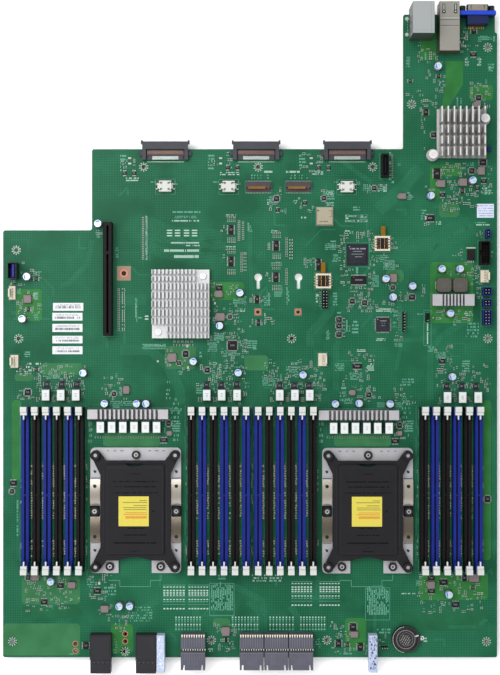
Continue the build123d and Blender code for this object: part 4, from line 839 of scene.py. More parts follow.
def passive(x, y, kind="black", size=1.6, turned=False, force=False):
    """A chip resistor or capacitor; it is skipped where there is no room unless forced."""
    w, d, height = size, size * 0.5, size * 0.28
    if turned:
        w, d = d, w
    if not force:
        if not (free(x - w / 2, y - d / 2, x + w / 2, y + d / 2)
                and on_board(x - w, y - d, x + w, y + d)):
            return False
    occupy(x - w / 2, y - d / 2, x + w / 2, y + d / 2, 0.1)

    def add(batch, along, z, length, width, height):
        if turned:
            batch.box(x, y + along, z, width, length, height)
        else:
            batch.box(x + along, y, z, length, width, height)

    cap = 0.27 * size
    add(bodies[kind], 0, TOP + 0.03, size - 2 * cap, size * 0.5, height)
    for s in (-1, 1):
        add(part_ends, s * (size / 2 - cap / 2), TOP + 0.02,
            cap + 0.15, size * 0.5 * 1.04, height * 1.04)
    return True


def dash(x, y, w, d, bright=True):
    bounds = (x - w / 2, y - d / 2, x + w / 2, y + d / 2)
    if on_board(*bounds) and free(*bounds):
        (silk if bright else silk_dim).box(x, y, TOP + 0.02, w, d, 0.02)


def print_marks(bright, u0, v0, u1, v1, rows, fill=0.75, vertical=False):
    """Rows of plain dashes the size of fine print, in a grid rectangle."""
    (x0, y1), (x1, y0) = plan(u0, v0), plan(u1, v1)
    for r in range(rows):
        if vertical:
            x = x0 + (r + 0.5) * (x1 - x0) / rows
            for y, length in runs(y0, y1 - 0.3, 0.5, 0.7, 0.9):
                if dice.random() < fill:
                    dash(x, y + length / 2, 0.9 * (x1 - x0) / rows * 0.6, length * 0.75, bright)
        else:
            y = y0 + (r + 0.5) * (y1 - y0) / rows
            for x, length in runs(x0, x1 - 0.3, 0.5, 0.7, 0.9):
                if dice.random() < fill:
                    dash(x + length / 2, y, length * 0.75, (y1 - y0) / rows * 0.55, bright)


bold = partial(print_marks, True)
faint = partial(print_marks, False)


def chips(u0, v0, u1, v1, density, tan=0.35, brown=0.15):
    """A field of short runs of passives on a 0.65 mm grid; half the density is the run count."""
    (x0, y1), (x1, y0) = plan(u0, v0), plan(u1, v1)
    for _ in range(density // 2):
        x = round(dice.uniform(x0, x1) / 0.65) * 0.65
        y = round(dice.uniform(y0, y1) / 0.65) * 0.65
        run = dice.choice((1, 1, 2, 2, 3, 4))
        pick = dice.random()
        kind = "tan" if pick < tan * 0.55 else ("brown" if pick < tan * 0.55 + brown else "black")
        size = dice.choice((1.0, 1.6, 1.6, 2.0))
        turned = dice.random() < 0.5
        placed = 0
        for j in range(run):
            step = j * (size * 0.5 + 0.5)
            px, py = (x + step, y) if turned else (x, y + step)
            if px > x1 + 0.8 or py > y1 + 0.8 or not passive(px, py, kind, size, turned):
                break
            placed = j + 1
        if placed and dice.random() < 0.95:
            if turned:
                dash(px + size * 0.4 + 0.35, y, 0.4, size * 0.9, dice.random() < 0.4)
            else:
                dash(x, py + size * 0.4 + 0.35, size * 0.9, 0.4, dice.random() < 0.4)


def column(u, v0, v1, count, kind="black", size=1.6):
    for i in range(count):
        passive(*plan(u, v0 + (v1 - v0) * (i + 0.5) / count), kind, size)


def row(u0, u1, v, count, kind="black", size=1.6, turned=True):
    for i in range(count):
        passive(*plan(u0 + (u1 - u0) * (i + 0.5) / count, v), kind, size, turned)


def land(u, v, width, depth, height, lift=0.02):
    lands.box(*plan(u, v), TOP + lift, width, depth, height)


def round_land(u, v, radius, height, count):
    lands.disc(*plan(u, v), TOP + 0.02, radius, height, count)


def bars(u, v, offsets, width, depth):
    x, y = plan(u, v)
    for offset in offsets:
        silk.box(x, y + offset, TOP + 0.02, width, depth, 0.02)


def lay(*groups):
    """Run each group's function over its entries, in order: later parts avoid earlier ones."""
    for place, *entries in groups:
        for entry in entries:
            place(*entry)


# leads around the chip bodies
for part in solids("ic_packages"):
    w, d = part.w, part.d
    quad = abs(w - d) < 0.8 and w > 3.2
    for side in ("x", "y") if quad else (("x",) if d >= w else ("y",)):
        span = d if side == "x" else w
        n = max(2, int(span / (0.65 if quad else 1.0)))
        for i in range(n):
            t = (i + 0.5) / n
            for e in (-1, 1):
                if side == "x":
                    leads.box(part.x + e * (w / 2 + 0.5), part.y0 + t * d, TOP + 0.03,
                              1.1, span / n * 0.46, 0.3)
                else:
                    leads.box(part.x0 + t * w, part.y + e * (d / 2 + 0.5), TOP + 0.03,
                              span / n * 0.46, 1.1, 0.3)
    occupy(part.x0 - 0.8, part.y0 - 0.8, part.x1 + 0.8, part.y1 + 0.8, 0.0)
for i in range(22):
    t = -5.25 + i * 0.5
    for e in (-1, 1):
        leads.box(115.4 + e * 6.5, 274.0 + t, TOP + 0.03, 1.2, 0.24, 0.35)
        leads.box(115.4 + t, 274.0 + e * 6.5, TOP + 0.03, 0.24, 1.2, 0.35)
occupy(108, 266.5, 122.8, 281.5)
occupy(83.5, 324.5, 103, 344.5)
for name in ("power_stages", "small_inductors", "square_inductors"):
    for part in solids(name):
        if part.z0 > TOP + 0.5:
            continue
        for e in (-1, 1):
            lands.box(part.x + e * (part.w / 2 + 0.15), part.y, TOP + 0.02,
                      0.5, part.d * 0.55, 0.35)

# Entries below are on the layout grid:
#   chips: u0, v0, u1, v1, density, share of tan, share of brown
#   bold, faint: u0, v0, u1, v1, rows, fill, vertical
#   column: u, v0, v1, count, kind, size      row: u0, u1, v, count, kind, size, turned
lay((row, (128.5, 131, 158.3, 1, "tan", 2.6, 0), (128.5, 131, 163.6, 1, "tan", 2.6, 0)))
for u in (129.7, 220.6, 311.2):
    for v in (158.2, 163.6):
        x, y = plan(u, v)
        lands.box(x, y, TOP + 0.02, 2.6, 1.5, 0.9)
        occupy(x - 1.4, y - 0.9, x + 1.4, y + 0.9)
lay(
    (chips, (121, 152, 136, 176, 26, 0.3), (208, 152, 232, 172, 34, 0.3),
     (299, 152, 322, 172, 34, 0.3)),
    (bold, (126, 177, 139, 181.5, 2), (220, 171.5, 239, 175.5, 2), (312, 171, 323, 175, 2)),
    (faint, (157, 158.5, 165, 161.5, 1), (172, 158.5, 180, 161.5, 1),
     (246, 158.5, 254, 161.5, 1), (343, 160, 352, 163, 1)),
    (bold, (263, 170, 275.5, 173.5, 1), (286, 170, 300, 173.5, 1)),
)
for u in (251, 254, 257, 260.5, 267, 290, 294, 298, 301, 306.5):
    faint(u, 174, u + 1.6, 179.5, 2)
for u in (150, 213, 334):
    faint(u, 181, u + 6, 183, 1)
for u in (174.5, 237.5, 357):
    faint(u, 181, u + 3, 185, 2)
lay(
    # beside the riser slot
    (column, (143, 216.5, 260, 24, "brown")),
    (bold, (144.6, 216.5, 148, 260, 1, 0.85, True)),
    (column, (118.7, 288, 331, 24, "brown"), (123.4, 288, 331, 24, "black", 2.2)),
    (faint, (96, 225, 99.5, 238, 6), (115, 247, 118.5, 258, 5)),
    (chips, (95, 230, 102, 236, 8),
     # left edge
     (17, 262, 24, 287, 20, 0.4), (30, 270, 42, 284, 22, 0.3), (8, 281, 15, 286, 4),
     (20, 292, 40, 318, 44, 0.35, 0.2), (17, 302, 34, 320, 26, 0.3)),
    (bold, (31, 293, 37, 299, 4)),
    (faint, (34, 312, 38, 320, 5)),
    # identification marks: plain dots and bars only
    (bold, (174, 254, 199, 259, 1, 0.95), (164, 248.5, 199, 252.5, 1, 0.95),
     (186, 244.5, 199, 246.5, 1), (171, 241.5, 199, 244, 1, 0.8)),
    (bars, *((u, 233, (-2.3, 0, 2.3), 4.6, 1.0) for u in (169.5, 177.5, 186.5, 194.5))),
    (bold, (172, 219.5, 199, 222, 1, 0.6)),
    (faint, (174, 215.5, 197, 218.5, 2), (172, 210.5, 200, 213.5, 1)),
)
# parts before and behind each of four small chips
for u, v in ((230.9, 229.6), (230.9, 261.3), (276.1, 245.6), (275.8, 277.2)):
    lay(
        (row, (u - 4, u + 5, v - 9.0, 5), (u - 4, u + 5, v - 12.5, 5),
         (u - 4, u + 5, v + 9.0, 5), (u - 4, u + 5, v + 12.0, 5, "tan")),
        (bold, (u - 5, v - 15.5, u + 5, v - 11, 3)),
        (chips, (u - 10, v - 4, u - 4.5, v + 4, 6)),
    )
lay(
    (column, (239, 220, 241, 12, "black", 1.9), (243, 221, 240, 10, "brown"),
     (241.5, 252, 272, 12, "brown"), (245, 252, 271, 12, "black", 2.2),
     (286.5, 237, 257, 12, "brown"), (291, 239, 259, 13, "black", 2.6),
     (286.5, 268, 285, 10, "brown")),
    (faint, (248, 225, 252, 232, 4)),
    # around the storage card sockets
    (chips, (270, 190, 283, 204, 16), (269, 205, 286, 214, 14)),
    (bold, (267, 199, 272, 205, 4)),
    (faint, (279, 208, 286, 214, 3)),
    (chips, (296, 199, 312, 205, 10), (300, 206, 313, 214, 10)),
    (bold, (293, 200, 297, 204, 3), (301, 216, 306, 219, 1)),
    (chips, (316, 190, 332, 204, 20)),
    (bold, (326, 192, 333, 197, 3), (327, 202, 334, 206, 3),
     (345.5, 214, 348.5, 222.5, 3, 0.9), (352, 214.5, 367.5, 217.5, 1, 0.95),
     (351, 219, 367.5, 222.5, 1, 0.95)),
    (faint, (353, 206, 360, 211, 2)),
    # management chip surroundings
    (chips, (336, 235, 347.5, 262, 70, 0.35), (346, 232, 372, 247, 60, 0.45, 0.15),
     (368.5, 246, 374, 286, 50, 0.3), (340, 262, 350, 290, 44, 0.35, 0.25),
     (350, 284, 372, 300, 60, 0.4, 0.15), (346, 300, 378, 312, 60, 0.3)),
    (faint, (325, 243, 336, 250, 4), (332, 254, 338, 262, 4)),
    (bold, (344, 230, 350, 236, 3)),
    (chips, (303, 258, 314, 268, 16)),
    (faint, (304, 259, 312, 266, 3), (369, 241, 372.5, 252, 5)),
    # right of the flash sockets
    (chips, (391, 238, 396, 252, 12), (376, 255, 395, 262, 24)),
    (faint, (383, 260, 395, 270, 5)),
    (chips, (384, 262, 398, 270, 14),
     # regulator group beside the network sink
     (424, 186, 436, 192, 6), (446, 176, 460, 202, 70, 0.45, 0.15),
     (440, 198, 462, 212, 40, 0.4), (455, 160, 468, 172, 24, 0.4),
     (462, 194, 478, 208, 36, 0.3), (470, 184, 492, 196, 36, 0.3), (484, 165, 492, 180, 14)),
    (faint, (444, 160, 456, 163, 2)),
    (bold, (482, 187, 491, 194, 3)),
    (faint, (421, 209, 426, 220, 4)),
    (bold, (436, 221, 441, 225, 2)),
    (chips, (424, 221, 431, 228, 8)),
    (faint, (402.5, 192, 411, 200, 4)),
    (chips, (406, 193, 412, 200, 4)),
    # right edge
    (bold, (476, 223.5, 489, 226, 1, 0.9)),
    (chips, (477, 228, 485, 238, 16)),
    (faint, (491, 250, 493, 258, 2)),
    (chips, (458, 252, 466, 266, 14)),
    (faint, (452, 254.5, 462, 256.5, 1)),
    (chips, (468, 264, 482, 284, 50, 0.25), (472, 284, 481, 300, 22, 0.2)),
    (faint, (477, 286, 481, 300, 5)),
    (land, (470.6, 248.0, 8.0, 1.2, 2.6, 0.05)),
    # around the square inductors
    (chips, (441, 271, 471, 277, 30, 0.4, 0.2), (434, 300, 452, 320, 24, 0.4, 0.2),
     (452, 308, 470, 322, 30, 0.4, 0.2)),
    (bold, (464, 311, 472, 316, 3)),
    (faint, (453, 318, 457, 326, 3), (466, 322, 479, 338, 5, 0.5)),
    # the narrow part of the board at the rear right
    (chips, (418, 44, 424, 62, 20, 0.3, 0.3), (434, 52, 440, 66, 14),
     (434, 75, 444, 92, 26, 0.3), (478, 20, 492, 28, 14, 0.2), (466, 44, 480, 52, 12),
     (462, 28, 470, 40, 10)),
    (faint, (407, 20, 410, 32, 4), (406, 56, 410, 68, 4)),
    (bold, (465, 58, 468.5, 66, 3), (477, 58, 481, 66, 3)),
    (round_land, (406.8, 18.8, 1.6, 0.5, 18), (406.8, 34.6, 1.6, 0.5, 18)),
    (faint, (478, 36.5, 492, 42, 3)),
    (bold, (459, 36, 466, 52, 4, 0.6)),
    (row, (425, 431, 49, 1, "brown", 2.4, 0)),
    (column, (430.4, 47, 60, 6, "tan", 2.2)),
    (chips, (426, 60, 436, 84, 24, 0.3)),
    (faint, (488, 63, 494, 72, 3)),
    (bold, (489, 66, 491, 70, 2)),
    (chips, (420, 108, 434, 118, 16), (425, 126, 437, 142, 24, 0.3)),
    (faint, (427, 141, 436, 150, 3)),
    # mezzanine connector
    (column, (379.5, 154, 178, 14, "tan", 1.2), (392.2, 154, 178, 14, "tan", 1.2)),
    (chips, (365, 183, 385, 193, 24)),
    (faint, (391, 160, 394, 184, 6)),
    (bold, (383, 184, 387, 192, 4)),
    (faint, (398, 162, 400, 172, 2)),
    # right of the chipset sink
    (chips, (209.5, 282, 216, 300, 22, 0.4), (222, 284, 244, 300, 40, 0.35, 0.1),
     (211, 302, 218, 312, 16, 0.4), (224, 304, 240, 312, 20, 0.2),
     (226, 314, 238, 326, 26, 0.3)),
    (faint, (233, 297, 240, 304, 3)),
    (bold, (240, 308, 245, 312, 2)),
    (faint, (214, 332.5, 224, 340, 4), (209, 342.5, 216.5, 352, 6)),
    (chips, (225, 332, 240, 339, 30, 0.2), (239, 340, 247, 360, 36, 0.2),
     (222, 352, 240, 362, 34, 0.3)),
    (land, (215, 303, 1.6, 1.6, 0.8), (209.6, 311, 1.4, 1.4, 0.8), (209.6, 318, 1.4, 1.4, 0.8)),
    (bars, (146.6, 317.6, (1.2, -1.2), 3.0, 1.2)),
    (faint, (136, 299, 137.5, 322, 1, 0.7, True), (138, 316.5, 142.5, 319, 1)),
    # in front of the chipset sink
    (row, (173, 193, 341.5, 15, "tan", 1.4), (173, 195, 345, 15)),
    (chips, (165, 350, 185, 366, 40, 0.5, 0.1), (183, 362, 192, 370, 12, 0.4)),
    (faint, (144.5, 344.5, 165, 346.5, 1, 0.9), (144.5, 347.5, 165, 349.5, 1, 0.9)),
    (round_land, (157.8, 361.2, 0.9, 0.3, 14)),
    (land, (187.3, 346, 1.6, 2.2, 0.8), (188.0, 367.5, 1.6, 2.2, 0.8)),
    (faint, (178, 370.5, 182.5, 375, 3), (199.5, 351, 201.5, 358, 2)),
    # small chips left of the middle
    (chips, (250, 294, 254, 306, 8), (259, 294, 264, 306, 8), (250, 318, 256, 328, 10),
     (261, 318, 274, 328, 16)),
    (faint, (264, 295, 270, 306, 5), (286, 290, 289, 306, 4), (253, 342, 256, 350, 3)),
    (bold, (261, 313, 266, 318, 3)),
    # right of the middle
    (column, (334.3, 316.5, 338, 6), (343.8, 316.5, 338, 6)),
    (faint, (345, 325, 350, 332, 3), (326, 331, 330, 340, 5), (337, 311.5, 341, 314, 1)),
    (chips, (345, 352, 371, 361, 40, 0.3), (346, 370.5, 370, 384, 30, 0.2)),
    (faint, (335, 363, 344, 371, 5)),
    (bold, (367, 363, 374, 371, 4), (357, 349, 366, 352, 2)),
    (faint, (333, 292, 337, 306, 5)),
    (column, (320, 291, 307, 7, "black", 1.2)),
    (bold, (316, 291, 319, 303, 4)),
    (column, (399.5, 312, 331, 8, "black", 1.4)),
    (chips, (393, 335, 403, 342, 14)),
    (faint, (390, 310, 400, 328, 5, 0.5)),
    (bold, (376, 308, 391, 312, 2), (376, 338, 386, 341, 2)),
    (faint, (394, 343, 402, 347, 2), (417, 313, 423, 315, 1)),
    (bold, (432.5, 316.5, 441, 319, 1)),
    (chips, (386, 284, 391, 296, 12), (398, 290, 410, 302, 24), (419, 283, 424, 297, 8),
     (384, 282, 404, 284, 6)),
)
# regulator control groups behind the memory and processor rows
for u0, u1, v in ((30, 86, 365), (198, 246, 362), (262, 326, 362), (436, 488, 364)):
    chips(u0, v, u1, v + 17, int((u1 - u0) * 2.2), 0.22, 0.12)
    chips(u0 + 6, v + 16, u1, v + 34, int((u1 - u0) * 2.6), 0.16, 0.08)
lay(
    (chips, (436, 344, 452, 368, 40, 0.2), (102, 376, 124, 402, 80, 0.25),
     (340, 384, 374, 402, 60, 0.25), (366, 386, 380, 400, 24, 0.2),
     (394, 386, 402, 402, 20, 0.2)),
    (faint, (340, 382, 346, 402, 5, 0.5)),
    (chips, (403, 396, 416, 404, 12)),
    (faint, (400, 378, 414, 386, 3, 0.6)),
    (chips, (18, 386, 34, 400, 34, 0.2), (20, 364, 32, 376, 26, 0.4)),
    (bold, (26, 362, 42, 372, 3, 0.45)),
)
for u in (36, 51.5, 66.5, 198, 213, 228, 270, 285.5, 300.5, 439, 454, 469):
    row(u, u + 4, 398.4, 3, "tan", 1.7)
    row(u, u + 4, 401.0, 3, "brown", 1.2)
lay(
    (faint, (88, 421, 93, 444, 4, 0.6), (319, 421, 324, 444, 4, 0.6)),
    (chips, (162, 418, 176, 446, 46, 0.25), (393, 418, 408, 446, 46, 0.25)),
    (row, (94, 160, 437.3, 26, "black", 1.4), (326, 392, 437.3, 26, "black", 1.4)),
    (faint, (171, 397, 179, 442, 10, 0.35), (402, 397, 410, 442, 10, 0.35),
     (166, 380, 170, 400, 5, 0.5)),
    # in front of the memory banks and sockets
    (chips, (24, 577, 66, 612, 150, 0.3, 0.12), (60, 578, 80, 600, 40, 0.3, 0.1),
     (418, 574, 482, 612, 190, 0.3, 0.12), (88, 574, 105, 600, 44, 0.15)),
    (faint, (87, 574, 94, 588, 6, 0.6), (104, 586, 116, 596, 3, 0.6)),
    (land, (99.3, 583.0, 2.0, 2.4, 0.9)),
    (chips, (97, 604, 112, 616, 26, 0.3), (108, 614, 128, 632, 50, 0.2)),
    (faint, (127, 606, 152, 622, 6, 0.5)),
    (chips, (214, 624, 236, 652, 90, 0.3, 0.15), (330, 622, 350, 652, 70, 0.3, 0.15),
     (352, 640, 372, 654, 26, 0.2), (376, 632, 394, 652, 34, 0.1)),
    (faint, (377, 628, 391, 634, 2), (340, 652, 352, 655, 1)),
    (column, (232.4, 640, 650, 4, "black", 1.4)),
    (bold, (208, 648, 213, 652, 2)),
    (faint, (220, 563, 245, 573, 4, 0.5)),
    (bold, (252, 574, 282, 582, 3, 0.5)),
    (faint, (218, 574, 226, 580, 2)),
    (bold, (401, 592.5, 415, 594.5, 1, 0.6)),
    (faint, (416, 580, 421, 586, 3)),
    (bold, (423.5, 637, 427, 642.5, 2, 0.9)),
    (faint, (111, 638, 117, 654, 6, 0.6), (69, 653, 73, 655, 1)),
    (chips, (121, 645, 131, 656, 10),
     # second pass over the remaining open areas
     (420, 96, 437, 112, 44, 0.3), (421, 112, 437, 128, 44, 0.3),
     (424, 128, 438, 160, 70, 0.3), (470, 82, 493, 108, 70, 0.3),
     (440, 160, 470, 178, 60, 0.3), (376, 300, 400, 312, 34, 0.3),
     (205, 318, 245, 345, 70, 0.25), (96, 572, 112, 600, 40, 0.2),
     (404, 90, 420, 110, 20, 0.2), (446, 42, 462, 56, 22, 0.3),
     (300, 384, 330, 402, 40, 0.2), (196, 384, 240, 404, 60, 0.25),
     (268, 384, 316, 404, 60, 0.25), (36, 376, 84, 400, 50, 0.25),
     (436, 384, 482, 404, 50, 0.25)),
    (faint, (308, 638, 320, 648, 4, 0.3)),
)

# memory gaps: parts and long outline marks beside every slot
# y range, count and usual kind of the parts
GAP_GROUPS = [(146, 156, 4, "tan"), (128, 144, 7, "black"), (116, 126, 4, "black"),
              (84, 92, 3, "black"), (186, 194, 3, "tan")]
for bank in BANK_X:
    for k in range(7):
        x = bank - FIRST_GAP + SLOT_PITCH * k
        if k in (0, 6):
            x += 1.6 if k == 0 else -1.6
        if not on_board(x - 1, 130, x + 1, 131):
            continue
        for y0, y1, n, kind in GAP_GROUPS:
            for i in range(n):
                y = y0 + (y1 - y0) * (i + 0.5) / n
                passive(x + dice.choice([-0.3, 0, 0.3]), y,
                        kind if dice.random() < 0.7 else "brown",
                        dice.choice([1.4, 1.6]), dice.random() < 0.5)
        for i in range(9):
            y = 76 + i * 13.4 + dice.uniform(-1, 1)
            dash(x - 1.15, y, 0.18, dice.uniform(3, 8), False)
    for k in range(6):
        x = bank - FIRST_SLOT + SLOT_PITCH * k
        for e in (-1, 1):
            for y in (66.5, 196.5):
                silk_dim.box(x + e * 3.7, y, TOP + 0.02, 0.25, 9.0, 0.02)

# stepped outlines in front of the two sockets
STEPPED_OUTLINE = [(-121.7055, 52.8515), (-112.104, 52.8515), (-112.104, 47.575),
                   (-85.635, 47.575), (-85.635, 52.8515), (-76.3795, 52.8515),
                   (-76.3795, 57.5225)]
for shift in (0, 200.2475):
    silk_dim.path([(x + shift, y) for x, y in STEPPED_OUTLINE], 0.35, TOP + 0.02, 0.02)

# printed tables: ruled rows with plain blocks
# left, right and rear edge
TABLES = [(-74.9955, -55.4465, 48.8725), (-53.1975, -35.119, 48.8725),
          (35.984, 54.5815, 51.9), (60.204, 78.542, 51.9)]
# distance from the rear edge, block height, batch
TABLE_ROWS = [(1.73, 1.0, silk), (4.7575, 1.5, silk), (6.8335, 1.5, silk), (8.65, 1.2, silk),
              (12.456, 1.1, silk), (14.359, 0.9, silk_dim), (20.414, 1.4, silk)]
for x0, x1, rear in TABLES:
    for down in (0.0, 10.034, 16.954):
        silk_dim.box((x0 + x1) / 2, rear - down, TOP + 0.02, x1 - x0, 0.3, 0.02)
    for down, height, batch in TABLE_ROWS:
        for i in range(7):
            batch.box(x0 + (x1 - x0) * (i + 0.5) / 7, rear - down, TOP + 0.02,
                      (x1 - x0) / 7 * 0.62, height * 0.8, 0.02,
                      dice.choice([0, 0, 0.25, -0.25]))

# boxed fields of dense dashes: left, rear, right, front
for x0, rear, x1, front in ((-34.427, 50.343, -13.321, 22.49),
                            (100.34, 46.4505, 121.3595, 18.684)):
    silk_dim.frame(x0, rear, x1, front, 0.3, TOP + 0.02, 0.02)
    for i in range(13):
        x = x0 + 1.903 + (x1 - x0 - 3.46) * i / 12
        y = front + 4.325
        while y < rear - 1.73:
            length = dice.uniform(0.6, 3.2)
            if dice.random() < 0.8:
                silk_dim.box(x + dice.uniform(-0.15, 0.15), y + length / 2, TOP + 0.02,
                             0.8, length * 0.85, 0.02)
            y += length

# pin rows behind the front connectors: v, size, batch
PIN_ROWS = [(617.3, 1.1, silk), (619.6, 1.3, silk_dim), (621.8, 0.9, silk_dim),
            (624.5, 1.2, silk), (626.6, 1.0, silk_dim), (629.3, 1.4, silk_dim)]
for u0, u1 in ((174.5, 201.5), (231, 259), (268.5, 294.5), (299.5, 326)):
    for v, size, batch in PIN_ROWS:
        n = int((u1 - u0) / 2.9)
        for i in range(n):
            x, y = plan(u0 + (u1 - u0) * (i + 0.5) / n, v)
            if free(x - 0.5, y - 0.5, x + 0.5, y + 0.5):
                batch.box(x, y, TOP + 0.02, size, size * 1.1, 0.02)
# jumper settings frame
silk_dim.frame(150.856, 286.488, 157.1705, 256.04, 0.22, TOP + 0.02, 0.02)
bold(426.4, 322, 428.6, 344, 1, 0.85, True)
# half ring mark
silk.path(arc(-197.566, 233.6365, 3.4, 0, math.pi, 12), 1.1, TOP + 0.02, 0.02)
bold(27.5, 371, 29.5, 374, 1)
# thin outlines around larger parts: node, margin
OUTLINED = [("bmc_package", 1.2), ("riser_slot", 0.6), ("card_slot", 0.6), ("rom_sockets", 1.0),
            ("mezzanine_connector", 1.0), ("m2_connectors", 0.8), ("fan_headers", 0.8),
            ("shrouded_header", 0.7), ("front_panel_headers", 0.6), ("pin_header_bases", 0.5),
            ("power_headers", 1.8), ("vrm_heatsinks", 0.8)]
for name, margin in OUTLINED:
    for part in solids(name):
        bounds = (part.x0 - margin, part.y0 - margin, part.x1 + margin, part.y1 + margin)
        if on_board(*bounds):
            silk_dim.frame(*bounds, 0.18, TOP + 0.018, 0.02)

# ------------------------------------------------------------------ pads round the holes
# radius and angle of a petal's corners
PETAL = [(2.75, -0.08), (2.95, -0.15), (3.85, -0.12), (4.2, 0.0), (3.85, 0.12), (2.95, 0.15),
         (2.75, 0.08)]
petals = Batch("hole_pads")
rims = Batch("hole_rims")
for x, y in HOLES:
    for i in range(10):
        a = 2 * math.pi * (i + 0.5) / 10
        petals.prism([(x + r * math.cos(a + t), y + r * math.sin(a + t)) for r, t in PETAL],
                     TOP + 0.003, TOP + 0.05)
    rims.ring(x, y, TOP + 0.003, 1.97, 2.3, 0.03)
petals.build(M["pad"])
rims.build(M["pin_grey"])


def square_pad(batch, cx, cy, width, depth, radius):
    """A square land with a round opening, made of two halves."""
    for s in (-1, 1):
        x = cx + s * width / 2
        outside = [(cx, cy + depth / 2), (x, cy + depth / 2), (x, cy - depth / 2),
                   (cx, cy - depth / 2)]
        opening = arc(cx, cy, radius, math.pi / 2, -s * math.pi, 16)
        batch.prism(outside + opening[::-1], TOP + 0.003, TOP + 0.003 + 0.05)


squares = Batch("copper_lands")
plating = Batch("copper_plating")
rings = Batch("copper_rings")
square_pad(squares, *LARGE_COPPER_HOLE, 12.0, 12.4, 3.4)
plating.ring(*LARGE_COPPER_HOLE, TOP + 0.003, 1.72, 2.2, 0.09)
rings.ring(*LARGE_COPPER_HOLE, TOP + 0.003, 2.2, 3.4, 0.09)
for x, y in SMALL_COPPER_HOLES:
    square_pad(squares, x, y, 6.3, 6.3, 2.4)
    rings.ring(x, y, TOP + 0.003, 1.62, 2.4, 0.09)
for x, y in PEG_HOLES:
    rings.ring(x, y, TOP + 0.003, 1.9, 2.5, 0.05)
    plating.ring(x, y, TOP + 0.003, 1.32, 1.9, 0.09)
# keyhole outlines: an open ring with a stem towards the front
for x, y in LOOP_MARKS:
    loop = arc(x, y, 3.75, math.radians(-62), math.radians(304), 40)
    silk_dim.path(loop, 0.35, TOP + 0.003, 0.03)
    for e in (-1, 1):
        silk_dim.path([(x + e * 1.55, y - 3.3), (x + e * 1.55, y - 9.4)], 0.35, TOP + 0.003, 0.03)
    silk_dim.path([(x - 1.5, y - 9.7), (x + 1.5, y - 9.7)], 0.35, TOP + 0.003, 0.03)
squares.build(M["copper"])
plating.build(M["copper_dark"])
rings.build(M["copper_ring"])

# ------------------------------------------------------------------ memory slots
contacts = Batch("memory_contacts")
ribs = {"b": Batch("memory_ribs_blue"), "k": Batch("memory_ribs_black")}
SLOT_COLOURS = ["bkbkbk", "kbkbkb", "bkbkbk", "kbkbkb"]  # b blue, k black
for bank, colours in zip(BANK_X, SLOT_COLOURS):
    for k, colour in enumerate(colours):
        x = bank - FIRST_SLOT + SLOT_PITCH * k
        for e in (-1, 1):
            contacts.box(x + e * 0.72, SLOT_Y, TOP + 5.0, 0.12, 128.0, 3.4)
            for i in range(38):
                y = SLOT_Y + (i - 18.5) * 3.4
                ribs[colour].box(x + e * 3.32, y, TOP + 0.4, 0.28, 1.3, 7.4)
        for e in (-1, 1):
            ribs[colour].box(x + e * 3.05, SLOT_Y, TOP + 9.0, 0.3, 125.0, 0.12)
ribs["b"].build(M["slot_blue"])
ribs["k"].build(M["black_plastic"])
contacts.build(M["contact_shadow"])

# strips lightened as painted light against the shade between the slots, and small parts there
lightened_strips = Batch("between_slots")
pale_parts = Batch("between_slot_parts")
for bank in BANK_X:
    for k in range(7):
        x = bank - FIRST_GAP + SLOT_PITCH * k
        edge = k in (0, 6)
        if edge:
            x = bank + (-28.3 if k == 0 else 28.3)
        if not on_board(x - 0.8, 130, x + 0.8, 131):
            continue
        if not edge:
            lightened_strips.box(x, SLOT_Y, TOP + 0.002, 2.6, 132.0, 0.008)
            for rear, n in ((151.8075, 9), (128.4525, 11), (86.9325, 7)):
                for i in range(n):
                    if dice.random() < 0.8:
                        # real cream parts, brightened as painted light against the shade between
                        # the slots
                        pale_parts.box(x - 0.35 + 0.2 * (i % 3), rear - i * 2.1625, TOP + 0.02,
                                       1.3, dice.choice([1.0, 1.5]), 0.7)
        for i in range(13):
            if edge and dice.random() < 0.6:
                continue
            passive(x + (0.15 if i % 2 else -0.15), 152.6725 - i * 2.6815,
                    "black" if i % 3 else "tan", 1.9, True, force=True)
        for i in range(5):
            if not (edge and dice.random() < 0.5):
                passive(x, 86.9325 - i * 2.6815, "tan" if i % 2 else "black", 1.8, True,
                        force=True)
        for y0, y1 in ((70, 84), (92, 112), (150, 178), (184, 204)):
            silk_dim.box(x - 1.05, (y0 + y1) / 2, TOP + 0.02, 0.16, (y1 - y0), 0.02)
lightened_strips.build(M["slot_gap"])
pale_parts.build(M["gap_part"])
bold(243.5, 468, 249, 505, 1, 0.85, True)
bold(244, 540, 248.5, 552, 1, 0.6, True)
faint(16, 500, 19, 536, 1, 0.7, True)

# finger grooves across each ejector head, riding with its latch
for letter, bank in zip("abcd", BANK_X):
    for side, s in (("rear", 1), ("front", -1)):
        grooves = Batch(f"grooves_{letter}_{side}", f"latches_{letter}_{side}")
        for k in range(6):
            x = bank - FIRST_SLOT + SLOT_PITCH * k
            for j in range(3):
                grooves.box(x, SLOT_Y + s * (69.6 - j * 1.1), TOP + 19.0 - 0.01, 3.6, 0.35, 0.03)
        grooves.build(M["latch_shadow"])

# ------------------------------------------------------------------ gold links and more print
gold_links = Batch("gold_links")
for u in (200.4, 214.4, 229.6, 273, 287.6, 302.6):
    for j in range(3):
        x, y = plan(u + (j - 1) * 1.5, 400.5)
        if free(x - 0.4, y - 1, x + 0.4, y + 1):
            gold_links.box(x, y, TOP + 0.02, 0.8, 2.0, 0.5)
gold_links.build(M["gold"])
